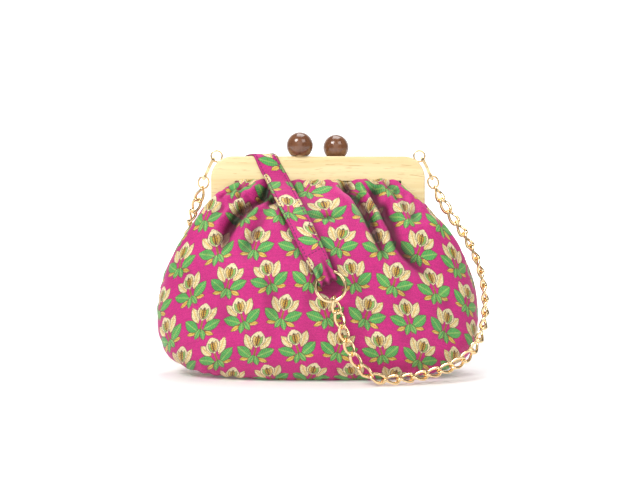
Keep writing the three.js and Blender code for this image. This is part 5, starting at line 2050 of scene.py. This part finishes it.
@dataclass
class CurbChain:
    """A chain of twisted links from a clasp, through a jump ring, to a strap ring."""

    side: Hand
    route: Sequence[Sequence[float]]
    bearing: Vector
    ring_axis: Vector
    pitch: float = LINK_PITCH
    link_width: float = LINK_WIDTH - 1.2
    wire: float = LINK_WIRE + 0.6
    overlap: float = LINK_WIRE + 0.4  # how much longer a link is than the pitch

    @property
    def eye(self) -> Vector:
        """The middle of the clasp's tail eye.

        Returns:
            The point, in millimetres.
        """
        up = Vector((-self.side * math.sin(CLASP_LEAN), 0, math.cos(CLASP_LEAN)))
        seat = Vector((self.side * math.cos(CLASP_SEAT), 0, -math.sin(CLASP_SEAT)))
        drop = CLASP_HOOK_INNER - EYE_WIRE / 2 - 3 * SEAM_GAP
        hook = ScrewEye(self.side).centre + seat * EYE_RADIUS - up * drop
        return hook - up * CLASP_LENGTH

    def bearings(self, samples: list[Vector], start: Vector) -> list[Vector]:
        """Walks the route in equal chords of about the chain's pitch.

        Args:
            samples: The route's dense points.
            start: Where the first link bears.

        Returns:
            Where each link bears.
        """

        def walk(chord: float) -> list[Vector]:
            """Walks the route in equal chords.

            Args:
                chord: Their length.

            Returns:
                The points reached.
            """
            found = [start]
            for sample in samples:
                if (found[-1] - sample).length >= chord:
                    found.append(sample)
            return found

        end = samples[-1]
        first = walk(self.pitch)
        count = round(len(first) - 1 + (first[-1] - end).length / self.pitch)
        low, high = self.pitch * 0.9, self.pitch * 1.1
        for _ in range(30):
            chord = (low + high) / 2
            low, high = (chord, high) if len(walk(chord)) - 1 >= count else (low, chord)
        points = walk(low)[: count + 1]
        points = points + [end] * (count + 1 - len(points))
        points[count] = end
        return points

    def facing(self, point: Vector) -> Vector:
        """Finds the way that the chain's flat side faces at a place.

        Args:
            point: The place.

        Returns:
            The direction, not of unit length.
        """
        ranked = sorted(self.route, key=lambda row: (Vector(row[:3]) - point).length)
        first, second = ranked[0], ranked[1]
        near, far = (Vector(first[:3]) - point).length, (Vector(second[:3]) - point).length
        return Vector(first[3:]) * far + Vector(second[3:]) * near

    def master(self, width: float, length: float, wire: float, twist: float) -> Object:
        """Models one link lengthwise along X, flat in X and Y, then twists it.

        Args:
            width: Its outside width.
            length: Between the centres of the wire at its two ends.
            wire: The wire's thickness.
            twist: How far each end turns from the middle, in radians.

        Returns:
            The link at the origin.
        """
        deselect()
        size = {"major_radius": (width - wire) / 2 * MM, "minor_radius": wire / 2 * MM}
        bpy.ops.mesh.primitive_torus_add(major_segments=36, minor_segments=12, **size)
        made = bpy.context.object
        spread = (length - (width - wire)) / 2 * MM
        for vert in made.data.vertices:
            pull = float(np.clip(vert.co.x / (0.6 * (width - wire) / 2 * MM), -1.0, 1.0))
            cosine, sine = math.cos(twist * pull), math.sin(twist * pull)
            x, y, z = vert.co
            vert.co = Vector((x + spread * pull, y * cosine - z * sine, y * sine + z * cosine))
        smooth(made, 180.0)
        return made

    def build(self, gold: Material) -> Object:
        """Models the chain's links along its route.

        Args:
            gold: The metal's material.

        Returns:
            The chain.
        """
        eye = self.eye
        controls = [list(eye), *[row[:3] for row in self.route], list(self.bearing)]
        curve = Curve.through(controls)
        samples = [curve.at(distance) for distance in np.linspace(0.0, curve.length, 3000)]
        reach = JUMP_LENGTH - JUMP_WIRE * 1.5
        begin = next(i for i, sample in enumerate(samples) if (sample - eye).length >= reach)
        points = self.bearings(samples[begin + 1 :], samples[begin])
        level = Vector((0, 1, 0))
        jump = self.master(JUMP_WIDTH, JUMP_LENGTH - JUMP_WIRE, JUMP_WIRE, 0.0)
        curb = self.master(self.link_width, self.pitch + self.overlap, self.wire, LINK_TWIST)
        parts = [self.placed(jump, eye, samples[begin], level)]
        for index, (start, stop) in enumerate(zip(points, points[1:])):
            facing = self.facing((start + stop) / 2)
            way = (stop - start).normalized()
            if index in (0, len(points) - 2):
                axis, turn = (level, 1) if index == 0 else (self.ring_axis, -1)
                facing = axis + axis.cross(way) * turn
            parts.append(self.placed(curb, start, stop, facing))
        for master in (jump, curb):
            bpy.data.objects.remove(master)
        where = self.side.name.lower()
        LOG.info("chain %s: %d links over %.0f mm", where, len(points) - 1, curve.length)
        chain = joined(parts, f"curb_chain_{where}")
        return finish_piece(chain, gold, BODY, (f"chain_{where}",))

    @staticmethod
    def placed(master: Object, start: Vector, stop: Vector, facing: Vector) -> Object:
        """Copies a link so that it runs from one bearing to the next.

        Args:
            master: The link to copy.
            start: Where its first end bears.
            stop: Where its other end bears.
            facing: The way that its flat side faces.

        Returns:
            The copy.
        """
        along = (stop - start).normalized()
        normal = (facing - along * facing.dot(along)).normalized()
        beside = normal.cross(along)
        turn = Matrix((along, beside, normal)).transposed().to_4x4()
        copy = master.copy()
        copy.data = master.data.copy()
        copy.data.transform(Matrix.Translation((start + stop) / 2 * MM) @ turn)
        bpy.context.scene.collection.objects.link(copy)
        return copy


# ---------------------------------------------------------------- the studio and the whole


@dataclass(frozen=True)
class Lamp:
    """A soft square lamp."""

    name: str
    place: Triple
    aim: Triple
    size: float
    power: float

    def build(self) -> Object:
        """Adds the lamp.

        Returns:
            The lamp.
        """
        deselect()
        bpy.ops.object.light_add(type="AREA", location=self.place)
        lamp = bpy.context.object
        lamp.name = self.name
        lamp.data.shape = "SQUARE"
        lamp.data.size = self.size
        lamp.data.energy = self.power
        lamp.rotation_euler = (Vector(self.aim) - Vector(self.place)).to_track_quat("-Z", "Y").to_euler()
        return lamp


@dataclass
class Studio:
    """A plain pale floor and background, soft lamps and the camera."""

    floor_shade: Triple = (0.96, 0.96, 0.96)
    world_light: float = 0.16
    # Where the floor's painted glow starts to brighten and where it is full, in metres from the bag.
    glow_start: float = 0.35
    glow_stop: float = 1.1
    camera_place: Triple = (0.0018, -0.791, 0.1437)
    tilt: float = 88.16
    lamps: tuple[Lamp, ...] = (
        Lamp("left lamp", (-0.7, -0.95, 1.2), (0.0, 0.0, 0.09), 0.55, 16.0),
        Lamp("right lamp", (0.75, -0.95, 1.1), (0.0, 0.0, 0.09), 0.7, 5.5),
        Lamp("front lamp", (0.0, -1.5, 0.55), (0.0, 0.0, 0.09), 1.1, 3.0),
        Lamp("top lamp", (0.05, 0.2, 1.35), (0.0, 0.0, 0.1), 0.8, 9.0),
    )

    def floor(self) -> Object:
        """Adds the floor, which curves up behind the bag and glows with painted light, faintly near the bag
        and up to plain white behind it.

        Returns:
            The floor.
        """
        deselect()
        bpy.ops.mesh.primitive_plane_add(size=8.0, location=(0, -1.4, 0))
        floor = settle(bpy.context.object)
        floor.name = "floor"
        edit_select(floor, Element.EDGE, lambda edge: all(vert.co.y > 2.5 for vert in edge.verts))
        bpy.ops.mesh.extrude_region_move(TRANSFORM_OT_translate={"value": (0, 0, 3.0)})

        def at_foot(edge: bmesh.types.BMEdge) -> bool:
            """Says whether an edge is where the floor meets the wall behind."""
            return all(vert.co.y > 2.5 and vert.co.z < 0.1 for vert in edge.verts)

        edit_select(floor, Element.EDGE, at_foot)
        bpy.ops.mesh.bevel(offset=0.8, segments=16, affect="EDGES")
        bpy.ops.object.mode_set(mode="OBJECT")
        smooth(floor, 60.0)
        material, graph, shader = new_material("floor")
        place = graph.node("TexCoord").outputs["Object"]
        cloud = graph.noise(graph.scaled(place, (3.0, 3.0, 3.0)), 1.0, 2.0)
        low = tuple(part * 0.985 for part in self.floor_shade)
        graph.put(graph.mix(cloud, low, self.floor_shade), shader.inputs["Base Color"])
        # Painted light: the floor glows from a little in front of the bag backwards, faintly near the bag
        # and brighter further off.
        apart = graph.scaled(place, (0.8, 1.0, 1.0))
        length = graph.node("VectorMath", {0: apart}, operation="LENGTH").outputs[1]
        far = graph.ramp(length, self.glow_start, self.glow_stop)
        depth = graph.node("SeparateXYZ", {0: place}).outputs[1]
        looks = {
            "Roughness": 0.7,
            "Emission Strength": graph.ramp(depth, -0.6, -0.2),
            "Emission Color": graph.mix(far, (0.1, 0.1, 0.1), (0.8, 0.8, 0.8)),
        }
        graph.feed(shader, looks)
        floor.data.materials.append(material)
        return floor

    def build(self) -> None:
        """Adds the floor, the world's light, the lamps and the camera."""
        self.floor()
        world = bpy.data.worlds.new("studio")
        bpy.context.scene.world = world
        world.use_nodes = True
        background = world.node_tree.nodes["Background"]
        background.inputs["Color"].default_value = (1.0, 1.0, 1.0, 1.0)
        background.inputs["Strength"].default_value = self.world_light
        for lamp in self.lamps:
            lamp.build()
        deselect()
        bpy.ops.object.camera_add(location=self.camera_place, rotation=(math.radians(self.tilt), 0, 0))
        camera = bpy.context.object
        camera.name = "camera"
        camera.data.lens = 50.0
        camera.data.sensor_width = 36.0
        camera.data.dof.use_dof = False
        bpy.context.scene.camera = camera
        bpy.context.scene.view_settings.view_transform = "Standard"
        LOG.info("studio: %d lamps", len(self.lamps))


@dataclass
class ShoulderBag:
    """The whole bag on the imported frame."""

    cloth: ClothFinish = ClothFinish("woven sprig cloth")
    wood: WoodFinish = WoodFinish("pale wood")
    lacquer: LacquerFinish = LacquerFinish("brown lacquer")
    gold: MetalFinish = MetalFinish("pale gold", (0.95, 0.72, 0.41), (0.66, 0.45, 0.22), 0.17)
    thread: ThreadFinish = ThreadFinish("dark thread")

    def build(self) -> None:
        """Models every piece in order."""
        cloth, wood, gold = self.cloth.build(), self.wood.build(), self.gold.build()
        pouch = Pouch().build(cloth)
        for side in Side:
            Jaw(side).build(wood)
        lacquer = self.lacquer.build()
        beads = ((BEAD_RADIUS + 0.5, 9.3), (BEAD_RADIUS + 0.2, 8.3))
        for side, hand, (radius, seat) in zip(Side, Hand, beads):
            Bead(side, radius, seat).build(lacquer, gold)
            ScrewEye(hand).build(gold)
        strap = StrapBand(pouch)
        strap.build(cloth, self.thread.build())
        strap.shade_cloth()
        strap.rings(gold)
        front, back = strap.end(Side.FRONT), strap.end(Side.BACK)
        CurbChain(Hand.RIGHT, RIGHT_ROUTE, front.bearing(10), front.normal).build(gold)
        CurbChain(Hand.LEFT, LEFT_ROUTE, back.bearing(-15), back.normal).build(gold)
        self.keep(replace(self.cloth, name="base cloth", flat=True).build(), gold)

    def keep(self, cloth: Material, gold: Material) -> None:
        """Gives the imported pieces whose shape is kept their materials.

        Args:
            cloth: The cloth's material.
            gold: The metal's material.
        """
        kept = {"base_panel": cloth}
        for name in ("hinge_left", "hinge_right", "bead_pin_front", "bead_pin_back"):
            kept[name] = gold
        for name in ("clasp_left", "clasp_right", "lever_left", "lever_right"):
            kept[name] = gold
        for name, material in kept.items():
            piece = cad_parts[name]
            piece.data.materials.clear()
            piece.data.materials.append(material)
            if material is gold and "pin" not in name:
                bevel = piece.modifiers.new("edges", "BEVEL")
                bevel.width = 0.25 * MM
                bevel.segments = 2
                bevel.limit_method = "ANGLE"
            LOG.info("%s kept", name)


def main() -> None:
    """Builds the studio and the bag."""
    Studio().build()
    ShoulderBag().build()


if __name__ == "__main__":
    main()
